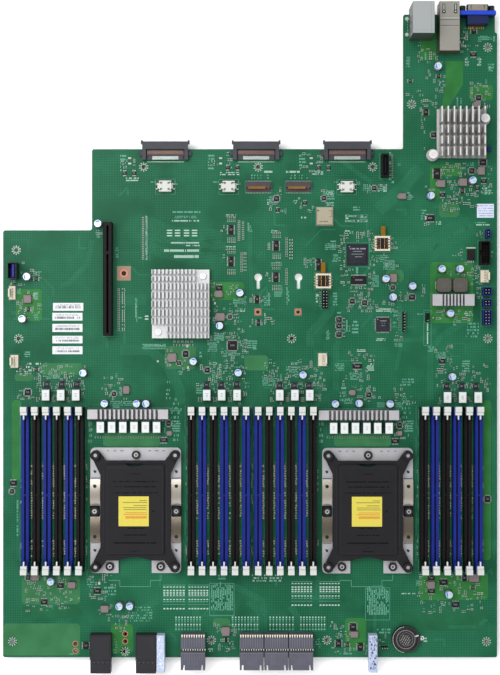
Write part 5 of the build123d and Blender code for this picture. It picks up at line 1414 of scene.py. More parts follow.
# u0, v0, u1, v1, rows, vertical
PRINT = [
    (456, 97, 458.6, 107, 1, 1), (459.6, 97, 462.2, 107, 1, 1), (465.6, 57, 468.4, 66, 1, 1),
    (477.8, 57, 480.6, 66, 1, 1), (480, 35.5, 488, 42, 4, 0), (407, 57, 410, 68, 1, 1),
    (484, 189, 491, 195, 3, 0), (474, 221.6, 486, 223.6, 1, 0), (492, 36, 496, 42, 1, 1),
    (466, 157, 469, 166, 1, 1), (470, 160, 474, 166, 3, 0), (424, 52, 427, 60, 1, 1),
    (290, 240, 292.6, 258, 1, 1), (285.6, 287, 288.2, 305, 1, 1),
    (242.2, 252.6, 245.2, 270.6, 1, 1), (267.4, 293, 270.2, 305, 1, 1),
    (243.4, 293, 246.2, 305, 1, 1), (330.5, 240, 336, 248, 3, 0), (327, 330, 329.6, 339, 1, 1),
    (345.4, 320, 348, 331, 1, 1), (271, 230, 274.6, 235, 1, 1), (276, 230, 281, 235, 1, 1),
    (271, 262, 275, 266, 3, 0), (277, 262, 282, 266, 3, 0), (274, 285, 282, 297, 6, 0),
    (242, 340, 257, 348.6, 4, 0), (17, 262, 21, 272, 1, 1), (32, 271, 40, 276.6, 3, 0),
    (18, 305, 21.4, 313, 1, 1), (34, 291.6, 38.4, 300, 4, 0), (247, 223, 249.4, 231, 1, 1),
    (315.4, 293, 318, 299.6, 3, 0), (16, 288, 21, 294, 3, 0), (24, 351, 30, 357.5, 3, 0),
    (35, 365, 42, 371, 3, 0), (48, 373, 60, 379, 3, 0), (112, 406, 120, 412, 3, 0),
    (172, 420, 180, 432, 5, 0), (110, 400.6, 134, 406, 3, 0), (170, 408, 182, 411.6, 2, 0),
    (344, 398, 352, 404, 3, 0), (405, 420, 413, 432, 5, 0), (377, 402, 401, 407.6, 3, 0),
    (88, 421, 91, 432, 1, 1), (107.8, 424, 109.8, 433, 1, 1), (119, 424, 121, 433, 1, 1),
    (130.4, 424, 132.4, 433, 1, 1), (141.6, 424, 143.6, 433, 1, 1),
    (152.8, 424, 154.8, 433, 1, 1), (163.8, 424, 165.8, 433, 1, 1),
    (144.4, 216, 147.4, 260, 1, 1), (123.4, 290, 126.4, 331, 1, 1), (142, 343.5, 166, 349, 3, 0),
    (207.7, 342, 217, 352, 6, 0), (213.6, 334, 224, 341, 4, 0), (224, 350, 239, 356, 4, 0),
    (238, 296, 246, 304, 4, 0), (134.6, 298, 137, 318, 1, 1), (360, 214, 368, 221, 3, 0),
    (345, 214, 367, 218, 1, 0), (345, 219, 367, 223, 1, 0), (388, 152, 392, 180, 1, 1),
    (269, 196, 276, 204, 4, 0), (325, 190, 334, 200, 4, 0), (363, 184, 370, 191, 4, 0),
    (378, 184, 386, 191, 4, 0), (208, 154, 214, 170, 5, 0), (299, 154, 306, 170, 5, 0),
    (120, 154, 126, 172, 5, 0), (355, 262, 359, 280, 1, 1), (371, 275, 379, 287, 6, 0),
    (380, 255, 388, 262, 4, 0), (352, 320, 358, 334, 4, 0), (428, 346, 434, 352, 3, 0),
    (350, 372, 362, 380, 4, 0), (436, 352, 446, 360, 4, 0), (462, 360, 470, 372, 5, 0),
    (212, 372, 222, 382, 5, 0), (232, 366, 244, 378, 5, 0), (262, 376, 276, 386, 5, 0),
    (286, 366, 300, 378, 5, 0), (196, 384, 206, 394, 4, 0),
]
for u0, v0, u1, v1, rows, vertical in PRINT:
    faint(u0, v0, u1, v1, rows, 0.9, bool(vertical))
    if vertical:
        bold(u0 + 0.5, v0 + 0.4, u1 - 0.5, v1, rows, 0.3, True)

# ------------------------------------------------------------------ capacitor tops
cap_marks = Batch("capacitor_marks")
cap_rims = Batch("capacitor_rims")
for i, can in enumerate(solids("polymer_capacitors", 5)):
    angle = [0.6, 2.3, 0.9, 2.0, 0.3][i % 5]
    cap_marks.slot = 0
    cap_marks.prism(arc(can.x, can.y, 2.55, angle, 2.2, 14), can.top + 0.004, can.top + 0.03)
    cap_marks.slot = 1
    for j in range(3):
        off = -0.7 - 0.55 * j
        cap_marks.box(can.x - off * math.sin(angle), can.y + off * math.cos(angle),
                      can.top + 0.004, 1.5 - 0.25 * j, 0.2, 0.02, angle)
    cap_rims.ring(can.x, can.y, can.top - 0.02, 2.62, 2.98, 0.08, 26)
cap_marks.build(M["cap_blue"], M["ink_light"])
cap_rims.build(M["solder"])

# ------------------------------------------------------------------ socket screws and springs
# screw place from the socket centre, and its height
SOCKET_SCREWS = [(0.4, 48, 4.8), (-22.2, -48.2, 4.8), (21.6, -48.2, 4.8),
                 (-35.1, -0.3, 7.2), (35.1, -0.3, 7.2)]
# rivet place along y, height, radius
RIVETS = [(21.1, 4.6, 1.5), (-22.5, 4.6, 1.5), (33.4, 2.42, 1.1), (-34.6, 2.42, 1.1)]
screws = Batch("screw_faces")
rivets = Batch("spring_rivets")
# painted shadow lines along the spring edges and at the bolster's front edge
spring_edge_shadows = Batch("spring_edge_shadows")
plate_marks = Batch("bolster_marks")
for cx, cy in SOCKETS:
    for dx, dy, height in SOCKET_SCREWS:
        x, y, z = cx + dx, cy + dy, TOP + height - 0.02
        screws.ring(x, y, z, 0.95, 1.95, 0.06, 24)
        for i in range(6):
            a = math.pi * i / 3
            screws.box(x + 0.62 * math.cos(a), y + 0.62 * math.sin(a), z,
                       0.42, 0.18, 0.05, a + math.pi / 2)
    for e in (-1, 1):
        for dy, height, radius in RIVETS:
            x, y, z = cx + e * 35.1, cy + dy, TOP + height
            rivets.disc(x, y, z, radius, 0.28, 18)
            rivets.box(x - 0.9, y + 0.8, z, 0.9, 0.9, 0.22, 0.5)
        for dy in (27.9, -28.0):
            spring_edge_shadows.box(cx + e * 34.9, cy + dy, TOP + 2.42, 7.6, 0.5, 0.3)
        for dy in (26.6, -26.8, 29.3, -29.4):
            plate_marks.box(cx + e * 34.9, cy + dy, TOP + 2.42, 7.4, 0.5, 0.25)
    for i in range(9):
        x = cx - 24 + i * 6
        if abs(x - cx) > 6:
            spring_edge_shadows.box(x, cy + 51.4, TOP + 2.405, dice.choice([1.6, 2.2, 2.8]), 0.55, 0.02)
screws.build(M["stud"])
rivets.build(M["black_screw"])
spring_edge_shadows.build(M["dark_hole"])
plate_marks.build(M["steel"])

# ------------------------------------------------------------------ socket dust covers
COVER_TOP = TOP + 9.6
LABEL_W, LABEL_D = 25.9, 25.6
# share of the line width, space to the next line
SMALL_PRINT = [(0.28, 0.8), (0.92, 1.9), (0.5, 1.1), (0.9, 0.9), (0.88, 1.9)]
# share of the line width, space to the next line, height
LARGE_PRINT = [(0.82, 0.7, 0.8), (0.9, 1.6, 0.9), (0.82, 0.0, 2.2)]
# y from the cover centre, length, height
COVER_LINES = [(32.2, 9, 0.45), (25.6, 38, 0.8), (21.2, 35, 0.8), (16.0, 40, 0.7),
               (-14.4, 15, 0.8), (-20.2, 19, 0.7), (-27.0, 36, 1.0), (-34.2, 10, 0.5)]


def cover_label(number, node, cx, cy):
    label = Batch(f"cover_label_{number}", node)
    x, y = cx - 1.2, cy + 0.1
    label.box(x, y, COVER_TOP + 0.005, LABEL_W, LABEL_D, 0.08)
    right = x + LABEL_W * 0.43
    z = COVER_TOP + 0.087
    y += LABEL_D / 2 - 3.6
    label.slot = 1
    for share, space in SMALL_PRINT:
        start = right - LABEL_W * 0.86 * share
        for at, q in runs(start, right - 0.2, 0.5, 0.8, 1.1):
            label.box(at + q / 2, y, z, q * 0.85, 0.62, 0.01)
        y -= 0.75 + space
    label.slot = 2
    for share, space, height in LARGE_PRINT:
        start = right - LABEL_W * 0.86 * share
        for at, q in runs(start, right - 0.2, 0.6, 0.9, 1.2):
            label.box(at + q / 2, y, z, q * 0.78, height, 0.01,
                      dice.choice([0, 0, 0.12, -0.12]) if height > 1 else 0)
        y -= height + space
    label.build(M["yellow"], M["ink_olive"], M["orange"])


def cover_marks(number, node, cx, cy):
    marks = Batch(f"cover_marks_{number}", node)
    for dy, length, height in COVER_LINES:
        for at, q in runs(-length / 2, length / 2 - 0.3, 0.7, 1.0, 1.4):
            if dice.random() < 0.8:
                marks.box(cx + at + q / 2, cy + dy, COVER_TOP + 0.004,
                          q * 0.8, height * 1.35, 0.02)
    marks.disc(cx + 15.6, cy + 0.2, COVER_TOP + 0.004, 0.8, 0.03, 14)
    marks.build(M["cover_mark"])


def cover_edges(number, node, cx, cy):
    edges = Batch(f"cover_frame_{number}", node)
    edges.frame(cx - 24.2, cy + 37.5, cx + 23.8, cy - 36.2, 0.25, COVER_TOP + 0.003, 0.05)
    for e in (-1, 1):
        edges.path([(cx + e * 27.0, cy + 36), (cx + e * 27.0, cy - 30)], 0.3,
                   TOP + 7.6 + 0.003, 0.06)
    edges.build(M["cover_edge"])
    sleeves = Batch(f"cover_sleeve_rims_{number}", node)
    for sx in (-1, 1):
        for sy in (-1, 1):
            sleeves.ring(cx + sx * 34.2, cy + sy * 48.0, TOP + 11.8 - 0.02, 2.12, 2.5, 0.05, 22)
    sleeves.build(M["cover_edge"])


for number, (cx, cy) in enumerate(SOCKETS, 1):
    for add_detail in (cover_label, cover_marks, cover_edges):
        add_detail(number, f"socket_cover_{number}", cx, cy)

# ------------------------------------------------------------------ marks on chips and chokes
package_marks = Batch("package_marks")
# node, rows, share of the width, line height
for name, rows, share, height in (("bmc_package", 4, 0.72, 0.5), ("logic_package", 3, 0.4, 0.3)):
    for part in solids(name):
        for r in range(rows):
            y = part.y + part.d * (0.28 - 0.5 * r / rows)
            length = part.w * share * (1.0 if r == 0 else dice.uniform(0.5, 0.8))
            for x, q in runs(part.x - length / 2, part.x + length / 2 - 0.3, 0.6, 0.9, 1.2):
                if dice.random() < 0.85:
                    package_marks.box(x + q / 2, y, part.top + 0.003,
                                      q * 0.7, height * (2.2 if r == 0 else 1.0), 0.01)
        package_marks.disc(part.x0 + part.w * 0.12, part.y1 - part.d * 0.12,
                           part.top + 0.003, 0.45, 0.01, 12)
package_marks.build(M["ink_chip"])

stage_marks = Batch("power_stage_marks")
for part in solids("power_stages", 0.3) + solids("ic_packages", 0.3):
    if min(part.w, part.d) < 3:
        continue
    stage_marks.disc(part.x0 + part.w * 0.18, part.y1 - part.d * 0.18, part.top + 0.003,
                     0.28, 0.01, 10)
    for r in range(2):
        stage_marks.box(part.x, part.y - 0.3 + 0.8 * r, part.top + 0.003,
                        part.w * 0.5, 0.22, 0.01)
stage_marks.build(M["ink_chip"])

choke_marks = Batch("choke_marks")
for part in solids("cpu_chokes", 4) + solids("memory_chokes", 4):
    for r in range(3):
        choke_marks.box(part.x, part.y + 1.3 - 1.3 * r, part.top + 0.003,
                        2.6 - 0.4 * r, 0.35, 0.012)
choke_marks.build(M["choke_mark"])

inductor_marks = Batch("inductor_marks")
for part in solids("square_inductors", 3):
    for share in (0.36, 0.24):
        w, d = part.w * share, part.d * share
        inductor_marks.frame(part.x - w, part.y - d, part.x + w, part.y + d,
                             0.3, part.top + 0.003, 0.03)
inductor_marks.build(M["inductor_mark"])

# small parts between and behind the processor chokes
choke_gaps = Batch("choke_gap_parts")
chokes = sorted((part for part in solids("cpu_chokes") if part.top > TOP + 4),
                key=lambda part: part.bounds)
for a, b in zip(chokes, chokes[1:]):
    if abs(b.x0 - a.x1) < 6:
        for j in range(4):
            choke_gaps.box((a.x1 + b.x0) / 2, a.y0 + 1.2 + j * 2.4, TOP + 0.03, 1.0, 1.5, 0.5)
for choke in chokes:
    for j in range(5):
        passive(choke.x0 + 0.7 + j * 1.35, choke.y1 + 0.9, "tan", 1.2, True, force=True)
choke_gaps.build(M["res_black"])

# ------------------------------------------------------------------ rear edge connectors
REAR_W, REAR_CONTACTS = 31.5, 44
UPPER_W, UPPER_CONTACTS = REAR_W - 9, 46
rear_contacts = Batch("rear_contacts")
rear_tails = Batch("rear_contact_tails")
ears = Batch("rear_ears")
rear_strips = Batch("rear_strip")
for x in (-72.6, 5.8, 84.5):
    pitch = REAR_W / REAR_CONTACTS
    for i in range(REAR_CONTACTS):
        at = x - REAR_W / 2 + REAR_W * (i + 0.5) / REAR_CONTACTS
        rear_contacts.box(at, 422.6, TOP + 2.2, pitch * 0.55, 3.6, 0.5)
        rear_tails.box(at, 418.6, TOP + 0.03, pitch * 0.5, 2.6, 0.35)
        rear_tails.box(at, 414.9, TOP + 0.02, pitch * 0.42, 0.9, 0.08)
    rear_strips.box(x, 420.6, TOP + 1.6, REAR_W + 0.6, 1.4, 1.2)
    for e in (-1, 1):
        ears.box(x + e * 20.9, 421.8, TOP + 0.05, 3.0, 3.6, 2.2)
        ears.box(x + e * 22.9, 422.4, TOP + 0.05, 1.4, 1.2, 1.0)
        ears.box(x + e * 20.2, 431.4, TOP + 0.2, 1.6, 3.0, 5.0)
    for i in range(UPPER_CONTACTS):
        rear_tails.box(x - UPPER_W / 2 + UPPER_W * (i + 0.5) / UPPER_CONTACTS, 418.1,
                       TOP + 2.254, UPPER_W / UPPER_CONTACTS * 0.7, 2.9, 0.03)
rear_contacts.build(M["pin_red"])
rear_tails.build(M["pin_grey"])
ears.build(M["edge_plastic"])
rear_strips.build(M["m2_plastic"])

# ------------------------------------------------------------------ M.2 sockets
m2_strips = Batch("m2_strip")
m2_contacts = Batch("m2_contacts")
for part in solids("m2_connectors", 1):
    w, y = part.w, part.y - 0.9
    m2_strips.box(part.x - w * 0.07, y, part.top + 0.02, w * 0.70, 2.3, 0.12)
    for i in range(4):
        m2_contacts.box(part.x0 + w * (0.85 + 0.08 * (i + 0.5) / 4), y, part.top + 0.02,
                        0.2, 2.0, 0.05)
    for i in range(16):
        x = part.x0 + w * (i + 0.5) / 16
        lands.box(x, part.y1 + 0.55, TOP + 0.03, 0.5, 1.0, 0.25)
        lands.box(x, part.y0 - 0.5, TOP + 0.03, 0.5, 0.9, 0.25)
m2_strips.build(M["m2_recess"])
m2_contacts.build(M["m2_recess"])

# ------------------------------------------------------------------ flash sockets
flash_chips = Batch("flash_chips")
flash_contacts = Batch("flash_contacts")
tape = Batch("amber_tape")
flash_shadows = Batch("flash_shadow")
for part in solids("rom_sockets", 1):
    x, y, z = part.x, part.y, part.top
    flash_chips.box(x, y - 0.2, z + 0.004, 7.4, 9.2, 0.10)
    for e in (-1, 1):
        flash_contacts.box(x + e * 1.9, y - 0.2, z + 0.11, 0.3, 9.0, 0.08)
        flash_shadows.box(x + e * 4.6, y, z + 0.006, 0.6, 10.0, 0.03)
        for i in range(4):
            at = y + (i - 1.5) * 2.4
            flash_contacts.box(x + e * 6.9, at, TOP + 0.3, 1.1, 0.6, 0.5)
            lands.box(x + e * 7.5, at, TOP + 0.03, 1.0, 0.7, 0.3)
            flash_shadows.box(x + e * 5.6, at, z + 0.006, 0.8, 0.5, 0.03)
flash_chips.build(M["chip_black"])
flash_contacts.build(M["gold"])
flash_shadows.build(M["dark_hole"])
# centre, width and depth of each piece of tape
for x, y, w, d in ((115.4775, 354.823, 3.633, 8.477), (63.664, 323.5965, 3.806, 8.304)):
    tape.box(x, y - 0.3, TOP + 0.3, w, d + 0.5, 3.4)
    for i in range(4):
        tape.box(x + dice.uniform(-0.4, 0.4), y - d / 2 + d * (i + 0.5) / 4, TOP + 3.7,
                 w * 0.7, 1.1, 0.35, dice.uniform(-0.4, 0.4))
tape.build(M["kapton"])

# ------------------------------------------------------------------ chip at the right edge
x, y = 191.4245, 334.6685
standing_chip = Batch("standing_chip")
standing_chip.box(x, y - 0.6, TOP + 0.1, 6.2, 9.0, 2.4)
standing_chip.build(M["chip_black"])
for i in range(4):
    lands.box(x - 2.3 + i * 1.5, y - 6.0, TOP + 0.05, 0.7, 1.8, 0.6)
# a single upright tab
lands.box(152.3265, 366.3275, TOP + 0.05, 1.3, 3.2, 1.4)

# ------------------------------------------------------------------ power headers
# dark windows of painted shade on the header tops
header_slots = Batch("power_header_slots")
header_legs = Batch("power_header_legs")
for part in solids("power_headers", 2):
    x, y, w, d, z = part.x, part.y, part.w, part.d, part.top + 0.004
    for ex in (-1, 1):
        for ey in (-1, 1):
            header_slots.box(x + ex * w * 0.33, y + ey * d * 0.36, z, 2.0, 0.6, 0.03)
            header_slots.box(x + ex * (w * 0.33 + 1.0), y + ey * (d * 0.36 - 0.6), z,
                             0.5, 1.3, 0.03)
            header_legs.box(x + ex * (w / 2 + 0.7), y + ey * d * 0.22, TOP + 0.1, 1.6, 0.8, 1.4)
header_slots.build(M["dark_hole"])
header_legs.build(M["white_plastic"])

# ------------------------------------------------------------------ front connectors
FRONT_CONNECTORS = [(-48.4, 20.8), (1.9, 20.6), (23.0, 20.3), (44.2, 20.8)]  # x, width
REAR_STEP, FRONT_STEP = TOP + 9.6, TOP + 12.4  # heights of the two body steps
teeth = Batch("bp_contacts")
latch_dots = Batch("bp_latch_dots")
ridges = Batch("bp_ribs")
# bp_slots: dark patches of painted shade in the openings on the connector tops
front_slots = Batch("bp_slots")
for x, w in FRONT_CONNECTORS:
    for i in range(10):
        at = x - w / 2 + w * (i + 0.5) / 10
        front_slots.box(at, 6.9, REAR_STEP + 0.004, w / 10 * 0.95, 2.8, 0.03)
        teeth.prism([(at - 0.75, 8.1), (at + 0.75, 8.1), (at + 0.35, 5.6), (at - 0.35, 5.6)],
                    TOP + 9.64, TOP + 9.9)
        front_slots.box(at, -5.0, REAR_STEP + 0.004, w / 10 * 0.55, 1.3, 0.05)
        latch_dots.box(at + w / 10 * 0.45, -4.9, REAR_STEP + 0.01, w / 10 * 0.38, 1.5, 0.12)
        ridges.box(at, 0.6, REAR_STEP - 0.02, 0.42, 8.6, 0.28)
    for i in range(13):
        at = x - w / 2 + 1.0 + (w - 2.0) * (i + 0.5) / 13
        y, length = (-12.4, 9.6) if 2 < i < 10 else (-10.0, 6.0)
        ridges.box(at, y, FRONT_STEP - 0.02, 0.30, length, 0.22)
    ridges.box(x, -7.2, FRONT_STEP - 0.02, w - 1.2, 0.5, 0.2)
    front_slots.box(x, -6.15, FRONT_STEP + 0.003, w - 0.6, 0.35, 0.02)
teeth.build(M["pin_cream"])
latch_dots.build(M["pin_cream"])
ridges.build(M["ridge"])
front_slots.build(M["dark_hole"])

# curved painted highlights on the power connector tops
power_highlights = Batch("power_connector_highlights")
power_lines = Batch("power_connector_lines")
for x, w in ((-127.8, 18.2), (-88.9, 17.8)):
    for e in (-1, 1):
        curve = [(x + e * (2.0 + 3.8 * i / 6), -17.2 + 1.3 * abs((i - 3) / 3) ** 2)
                 for i in range(7)]
        power_highlights.path(curve, 0.7, TOP + 9.4 + 0.003, 0.03)
    # dark lines of painted shade along the connector edges and step
    power_lines.box(x, 7.1, TOP + 10.003, w - 1.0, 0.5, 0.03)
    power_lines.box(x, -11.6, TOP + 9.403, w - 1.2, 0.25, 0.03)
    for e in (-1, 1):
        power_lines.box(x + e * (w / 2 - 1.0), -2, TOP + 10.003, 0.25, 16, 0.03)
power_highlights.build(M["power_mark"])
power_lines.build(M["dark_hole"])


def guide_specks(name, count, x, reach, max_w, max_d, smallest, material):
    """Flecks scattered over the top of a guide block."""
    specks = Batch(name)
    for _ in range(count):
        at, y = x + dice.uniform(-reach, reach), dice.uniform(-22, 6)
        specks.box(at, y, TOP + 10.003, dice.uniform(smallest, max_w),
                   dice.uniform(smallest, max_d), 0.012)
    specks.build(material)


guide_specks("guide_block_specks", count=170, x=106.2, reach=2.95, max_w=1.3, max_d=1.6,
             smallest=0.4, material=M["guide_lilac"])
guide_specks("guide_block_specks_left", count=110, x=-76.2, reach=2.9, max_w=0.9, max_d=1.2,
             smallest=0.3, material=M["guide_fleck"])

# ------------------------------------------------------------------ coin cell and its holder
CELL_X, CELL_Y, CELL_TOP = 134.8, 2.7, TOP + 4.4
PRINT_ANGLE = 1.05
cell_print_and_highlights = Batch("cell_print_and_highlights", "coin_cell")
# painted highlight ring at the cell's rim
cell_print_and_highlights.ring(CELL_X, CELL_Y, CELL_TOP + 0.003, 7.7, 8.1, 0.05, 40)
c, s = math.cos(PRINT_ANGLE), math.sin(PRINT_ANGLE)
# embossed print
for j in range(5):
    off = (j - 2) * 1.7
    length = 9.0 - abs(j - 2) * 1.6
    for x, q in runs(-length / 2, length / 2 - 0.4, 0.7, 1.0, 1.3):
        cell_print_and_highlights.box(CELL_X + x * c - off * s, CELL_Y + x * s + off * c, CELL_TOP + 0.003,
                       q * 0.7, 0.7, 0.015, PRINT_ANGLE)
# painted highlight ring on the cell's face
cell_print_and_highlights.ring(CELL_X + 0.3, CELL_Y + 0.2, CELL_TOP + 0.003, 5.6, 5.8, 0.03, 36)
cell_print_and_highlights.build(M["cell_bright"])
holder = Batch("holder_contact_and_highlight")
holder.box(CELL_X + 12.6, CELL_Y + 0.4, TOP + 1.2, 3.0, 1.6, 1.6)
holder.ring(CELL_X + 14.3, CELL_Y + 0.4, TOP + 0.1, 0.9, 2.0, 0.6, 22)
# painted highlight arc on the holder rim
holder.path(arc(CELL_X, CELL_Y, 11.2, math.radians(100), math.radians(160), 24),
            0.35, TOP + 4.9, 0.12)
holder.box(CELL_X + 9.5, CELL_Y + 3.2, TOP + 4.45, 3.0, 1.1, 0.3, 0.3)
holder.build(M["solder"])

# ------------------------------------------------------------------ rear ports
USB_X, USB_TOP = 170.9, TOP + 16.0
# dark patches of painted shade in the shield's spring slots and folds
usb_slots = Batch("usb_spring_slots")
usb_creases = Batch("usb_creases")
for e in (-1, 1):
    x = USB_X + e * 5.0
    usb_slots.box(x, 544.6, USB_TOP + 0.003, 2.3, 5.6, 0.03)
    usb_slots.disc(x, 541.0, USB_TOP + 0.003, 1.6, 0.03, 16)
    usb_creases.box(x, 544.9, USB_TOP + 0.03, 1.0, 4.4, 0.05)
    usb_creases.disc(x, 541.2, USB_TOP + 0.035, 0.8, 0.05, 12)
usb_creases.box(USB_X, 535.5595, USB_TOP + 0.003, 16.4, 0.7, 0.1)
usb_slots.box(USB_X, 534.3485, USB_TOP + 0.003, 16.2, 0.3, 0.03)
usb_slots.box(USB_X, 529.245, USB_TOP + 0.003, 16.2, 0.35, 0.03)
usb_creases.box(USB_X, 528.6395, USB_TOP + 0.003, 16.2, 0.25, 0.06)
usb_slots.build(M["dark_hole"])
usb_creases.build(M["pad"])

LAN_X, LAN_Y = 147.0, 533.1
lan_seams = Batch("lan_seams")
lan_seams.box(LAN_X + 6.3, LAN_Y, TOP + 30.003, 0.25, 26.0, 0.03)
lan_seams.box(LAN_X, LAN_Y - 11.0, TOP + 30.003, 17.6, 0.2, 0.03)
for e in (-1, 1):
    lan_seams.box(LAN_X + e * 9.13, LAN_Y - 4, TOP + 12.0, 0.08, 1.6, 6.0)
    lan_seams.box(LAN_X + e * 9.13, LAN_Y + 5, TOP + 12.0, 0.08, 1.6, 6.0)
lan_seams.build(M["seam"])

VGA_X = 195.7
# painted shade: dark face of the opening and dark outline round the shell
vga_shade = Batch("vga_shade")
vga_shade.box(VGA_X, 548.84, TOP + 2.6, 12.0, 0.05, 7.2)
for e in (-1, 1):
    vga_shade.box(VGA_X + e * 8.75, 545.6, TOP + 6.0, 0.9, 5.6, 4.4)
vga_shade.box(VGA_X, 543.1, TOP + 6.0, 17.6, 0.6, 4.5)
for e in (-1, 1):
    vga_shade.box(VGA_X + e * 5.6, 546.6, TOP + 6.3 + 4.02, 0.5, 3.6, 0.03)
vga_shade.build(M["dark_hole"])
vga_pins = Batch("vga_rear_pins")
for i in range(8):
    vga_pins.box(189.5 + i * 1.8, 530.6, TOP + 0.1, 0.7, 2.4, 1.6)
vga_pins.build(M["gold"])

# ------------------------------------------------------------------ paper labels
# x, y, width, depth, bar offset, bar height
LABELS = [(-156.8, 289.5, 26.2, 6.8, 0.4, 2.0), (-157.4, 281.0, 26.0, 6.7, 0.9, 2.0),
          (-157.4, 271.3, 26.0, 7.0, 0.9, 2.0), (-157.4, 261.2, 26.0, 6.5, 0.9, 1.7),
          (-157.4, 252.0, 26.0, 6.8, 0.9, 1.7)]
labels = Batch("paper_labels")
for x, y, w, d, bar_offset, bar_height in LABELS:
    labels.slot = 0
    labels.box(x, y, TOP + 0.02, w, d, 0.10)
    labels.slot = 1
    at = x - w * 0.42
    while at < x + w * 0.40:
        q = dice.choice([0.3, 0.45, 0.7])
        if dice.random() < 0.85:
            labels.box(at + q / 2, y - bar_offset, TOP + 0.122, q * 0.9, bar_height, 0.01)
        at += q + dice.choice([0.08, 0.15, 0.3])
    labels.slot = 2
    for r in range(2):
        for at, q in runs(x - w * 0.40, x + w * 0.36, 0.5, 0.8, 1.0):
            if dice.random() < 0.7:
                labels.box(at + q / 2, y + 1.1 + r * 0.9, TOP + 0.122, q * 0.8, 0.5, 0.01)
# bluish label at the right edge
x, y, w, d = 204.1, 372.6, 14.7, 12.0
labels.slot = 3
labels.box(x, y, TOP + 0.02, w, d, 0.10)
labels.slot = 1
for r in range(5):
    for at, q in runs(x - w * 0.42, x + w * 0.42, 0.4, 0.6, 0.9):
        if dice.random() < 0.8:
            labels.box(at + q / 2, y + d * 0.36 - r * d * 0.18, TOP + 0.122, q * 0.7, 0.55, 0.01)
labels.build(M["paper"], M["ink"], M["ink_light"], M["label_blue"])

# ------------------------------------------------------------------ card socket shell
CARD_X, CARD_Z = 65.0, TOP + 1.903
card_marks = Batch("card_socket_marks")
for i in range(6):
    card_marks.box(CARD_X - 4.0 + i * 1.25, 363.2, CARD_Z, 0.7, 1.1, 0.02)
card_marks.box(CARD_X, 360.6, CARD_Z, 13.0, 0.35, 0.02)
for e in (-1, 1):
    card_marks.box(CARD_X + e * 6.6, 367.5, CARD_Z, 0.25, 14.0, 0.02)
card_marks.path([(68.6, 372.6), (71.0, 372.6), (71.0, 367.4), (69.2, 367.4)], 0.3, CARD_Z, 0.02)
card_marks.box(59.4, 372.6, CARD_Z, 1.4, 1.2, 0.02)
card_marks.build(M["inductor_mark"])

# clips at two opposite corners of the chipset sink
clips = Batch("sink_clips")
for s in (1, -1):
    x, y = -59.2 + s * 19.2, 291.9 + s * 24.0
    clips.ring(x, y, TOP + 5.85, 1.4, 2.7, 0.5, 24)
    clips.disc(x, y, TOP + 5.85, 1.2, 0.8, 18)
clips.build(M["solder"])

# slots in the push pin heads
pin_slots = Batch("push_pin_slots")
for x, y in ((157.7, 420.1), (202.2, 451.0)):
    pin_slots.box(x, y, TOP + 11.6 + 0.003, 3.2, 0.4, 0.02, 0.5)
    pin_slots.ring(x, y, TOP + 11.6 + 0.003, 1.5, 1.75, 0.02, 22)
pin_slots.build(M["latch_shadow"])

# small blue block at the right edge
blue_part = Batch("edge_blue_part")
blue_part.box(206.9945, 425.753, TOP + 0.1, 3.4, 4.0, 3.0)
blue_part.build(M["header_blue"])

# pin tips of the front panel headers
PIN_PITCH = 2.54
pin_tips = Batch("header_pin_tips")
for part in solids("front_panel_headers", 2):
    across, along = int(part.w / PIN_PITCH), int(part.d / PIN_PITCH)
    for i in range(max(1, across)):
        for j in range(max(1, along)):
            pin_tips.box(part.x + (i - (across - 1) / 2) * PIN_PITCH,
                         part.y + (j - (along - 1) / 2) * PIN_PITCH,
                         part.top - 0.4, 0.7, 0.7, 0.5)
pin_tips.build(M["pin_grey"])

# ------------------------------------------------------------------ solder cones underneath
solder = Batch("solder_underside")


def solder_cone(x, y, radius, height):
    solder.cone(x, y, 0.22, radius, height, 10)


for bank in BANK_X:
    for k in range(6):
        x = bank - FIRST_SLOT + SLOT_PITCH * k
        for i in range(36):
            solder_cone(x - 1.6 if i % 2 else x + 1.6, SLOT_Y + (i - 17.5) * 3.7, 0.5, 0.7)
for x, w in FRONT_CONNECTORS:
    for i in range(9):
        for j in range(3):
            solder_cone(x - w / 2 + w * (i + 0.5) / 9, -2 + j * 3.2, 0.55, 0.8)
for x in (-127.8, -88.9):
    for i in range(6):
        for j in range(2):
            solder_cone(x - 7 + i * 2.8, -4 + j * 6, 0.8, 1.0)
for i in range(26):
    for e in (-1, 1):
        solder_cone(-121.6 + e * 1.5, 313.2 + (i - 12.5) * 3.5, 0.5, 0.8)
solder.build(M["solder"], smooth=True)

# ------------------------------------------------------------------ the shared batches
for kind, key in (("black", "res_black"), ("tan", "cap_tan"), ("brown", "cap_brown")):
    bodies[kind].build(M[key])
part_ends.build(M["end_cap"])
lands.build(M["pad"])
leads.build(M["pin_grey"])
silk.build(M["silk"])
silk_dim.build(M["silk_dim"])


# ------------------------------------------------------------------ floor
def floor_material():
    """Near-white floor that glows only beneath one spot of the board."""
    m = Shader("studio_floor")
    x, y, z = m.xyz()
    dx, dy = (m.calc("ABSOLUTE", m.calc("SUBTRACT", axis, centre * MM))
              for axis, centre in ((x, 25), (y, 313)))
    m.surface(colour=m.mix(m.spread(m.noise(600, detail=2)), (0.93,) * 3, (0.97,) * 3),
              roughness=0.9, glow=(1.0, 1.0, 1.0),
              glow_strength=m.remap(m.calc("ADD", dx, dy), 28 * MM, 45 * MM, 0.55, 0.0))
    return m.material


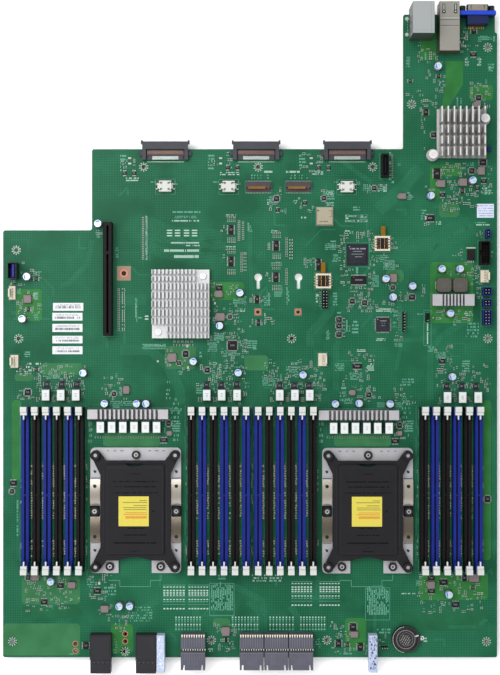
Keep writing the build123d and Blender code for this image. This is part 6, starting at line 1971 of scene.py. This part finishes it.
FLOOR_Z, FLOOR_HALF = -0.006, 3  # metres
floor_mesh = bpy.data.meshes.new("studio_floor")
floor_mesh.from_pydata([(x * FLOOR_HALF, y * FLOOR_HALF, FLOOR_Z)
                        for x, y in ((-1, -1), (1, -1), (1, 1), (-1, 1))], [], [(0, 1, 2, 3)])
floor_mesh.materials.append(floor_material())
floor = bpy.data.objects.new("studio_floor", floor_mesh)
bpy.context.scene.collection.objects.link(floor)

# ------------------------------------------------------------------ lights and world
bpy.context.scene.view_settings.view_transform = "Standard"
bpy.context.scene.view_settings.look = "None"


def area_light(name, place, target, size, watts):
    """A rectangular light aimed at a target; places and sizes in metres."""
    data = bpy.data.lights.new(name, "AREA")
    data.shape = "RECTANGLE"
    data.size, data.size_y = size
    data.energy = watts
    obj = bpy.data.objects.new(name, data)
    bpy.context.scene.collection.objects.link(obj)
    obj.location = place
    aim = Vector(target) - Vector(place)
    obj.rotation_euler = aim.to_track_quat("-Z", "Y").to_euler()


area_light("key", place=(-0.55, 0.75, 1.35), target=(-0.05, 0.25, 0), size=(1.3, 0.9), watts=21)
area_light("fill_right", place=(1.25, 0.0, 1.1), target=(0, 0.2, 0), size=(1.0, 1.0), watts=3.0)
area_light("fill_left", place=(-1.25, 0.1, 1.1), target=(0, 0.27, 0), size=(1.0, 1.0), watts=4.5)
area_light("fill_front", place=(0.0, -0.9, 1.2), target=(0, 0.27, 0), size=(1.4, 0.8), watts=7.5)

world = bpy.data.worlds.new("studio")
world.use_nodes = True
background = world.node_tree.nodes["Background"]
background.inputs["Color"].default_value = (0.95, 0.97, 1.0, 1)
background.inputs["Strength"].default_value = 0.6
bpy.context.scene.world = world

# ------------------------------------------------------------------ camera, straight above
CAMERA_HEIGHT = 1150          # above the board's upper face
VIEW_HEIGHT = 583.875         # extent of the view at the board's upper face
SENSOR = 36
camera_data = bpy.data.cameras.new("camera")
camera_data.sensor_fit = "VERTICAL"
camera_data.sensor_height = SENSOR
camera_data.sensor_width = SENSOR
camera_data.lens = SENSOR * CAMERA_HEIGHT / VIEW_HEIGHT
camera_data.clip_start, camera_data.clip_end = 0.01, 20
camera = bpy.data.objects.new("camera", camera_data)
bpy.context.scene.collection.objects.link(camera)
camera.location = (0.5 * MM, 263 * MM, (TOP + CAMERA_HEIGHT) * MM)
camera.rotation_euler = (0, 0, 0)
bpy.context.scene.camera = camera
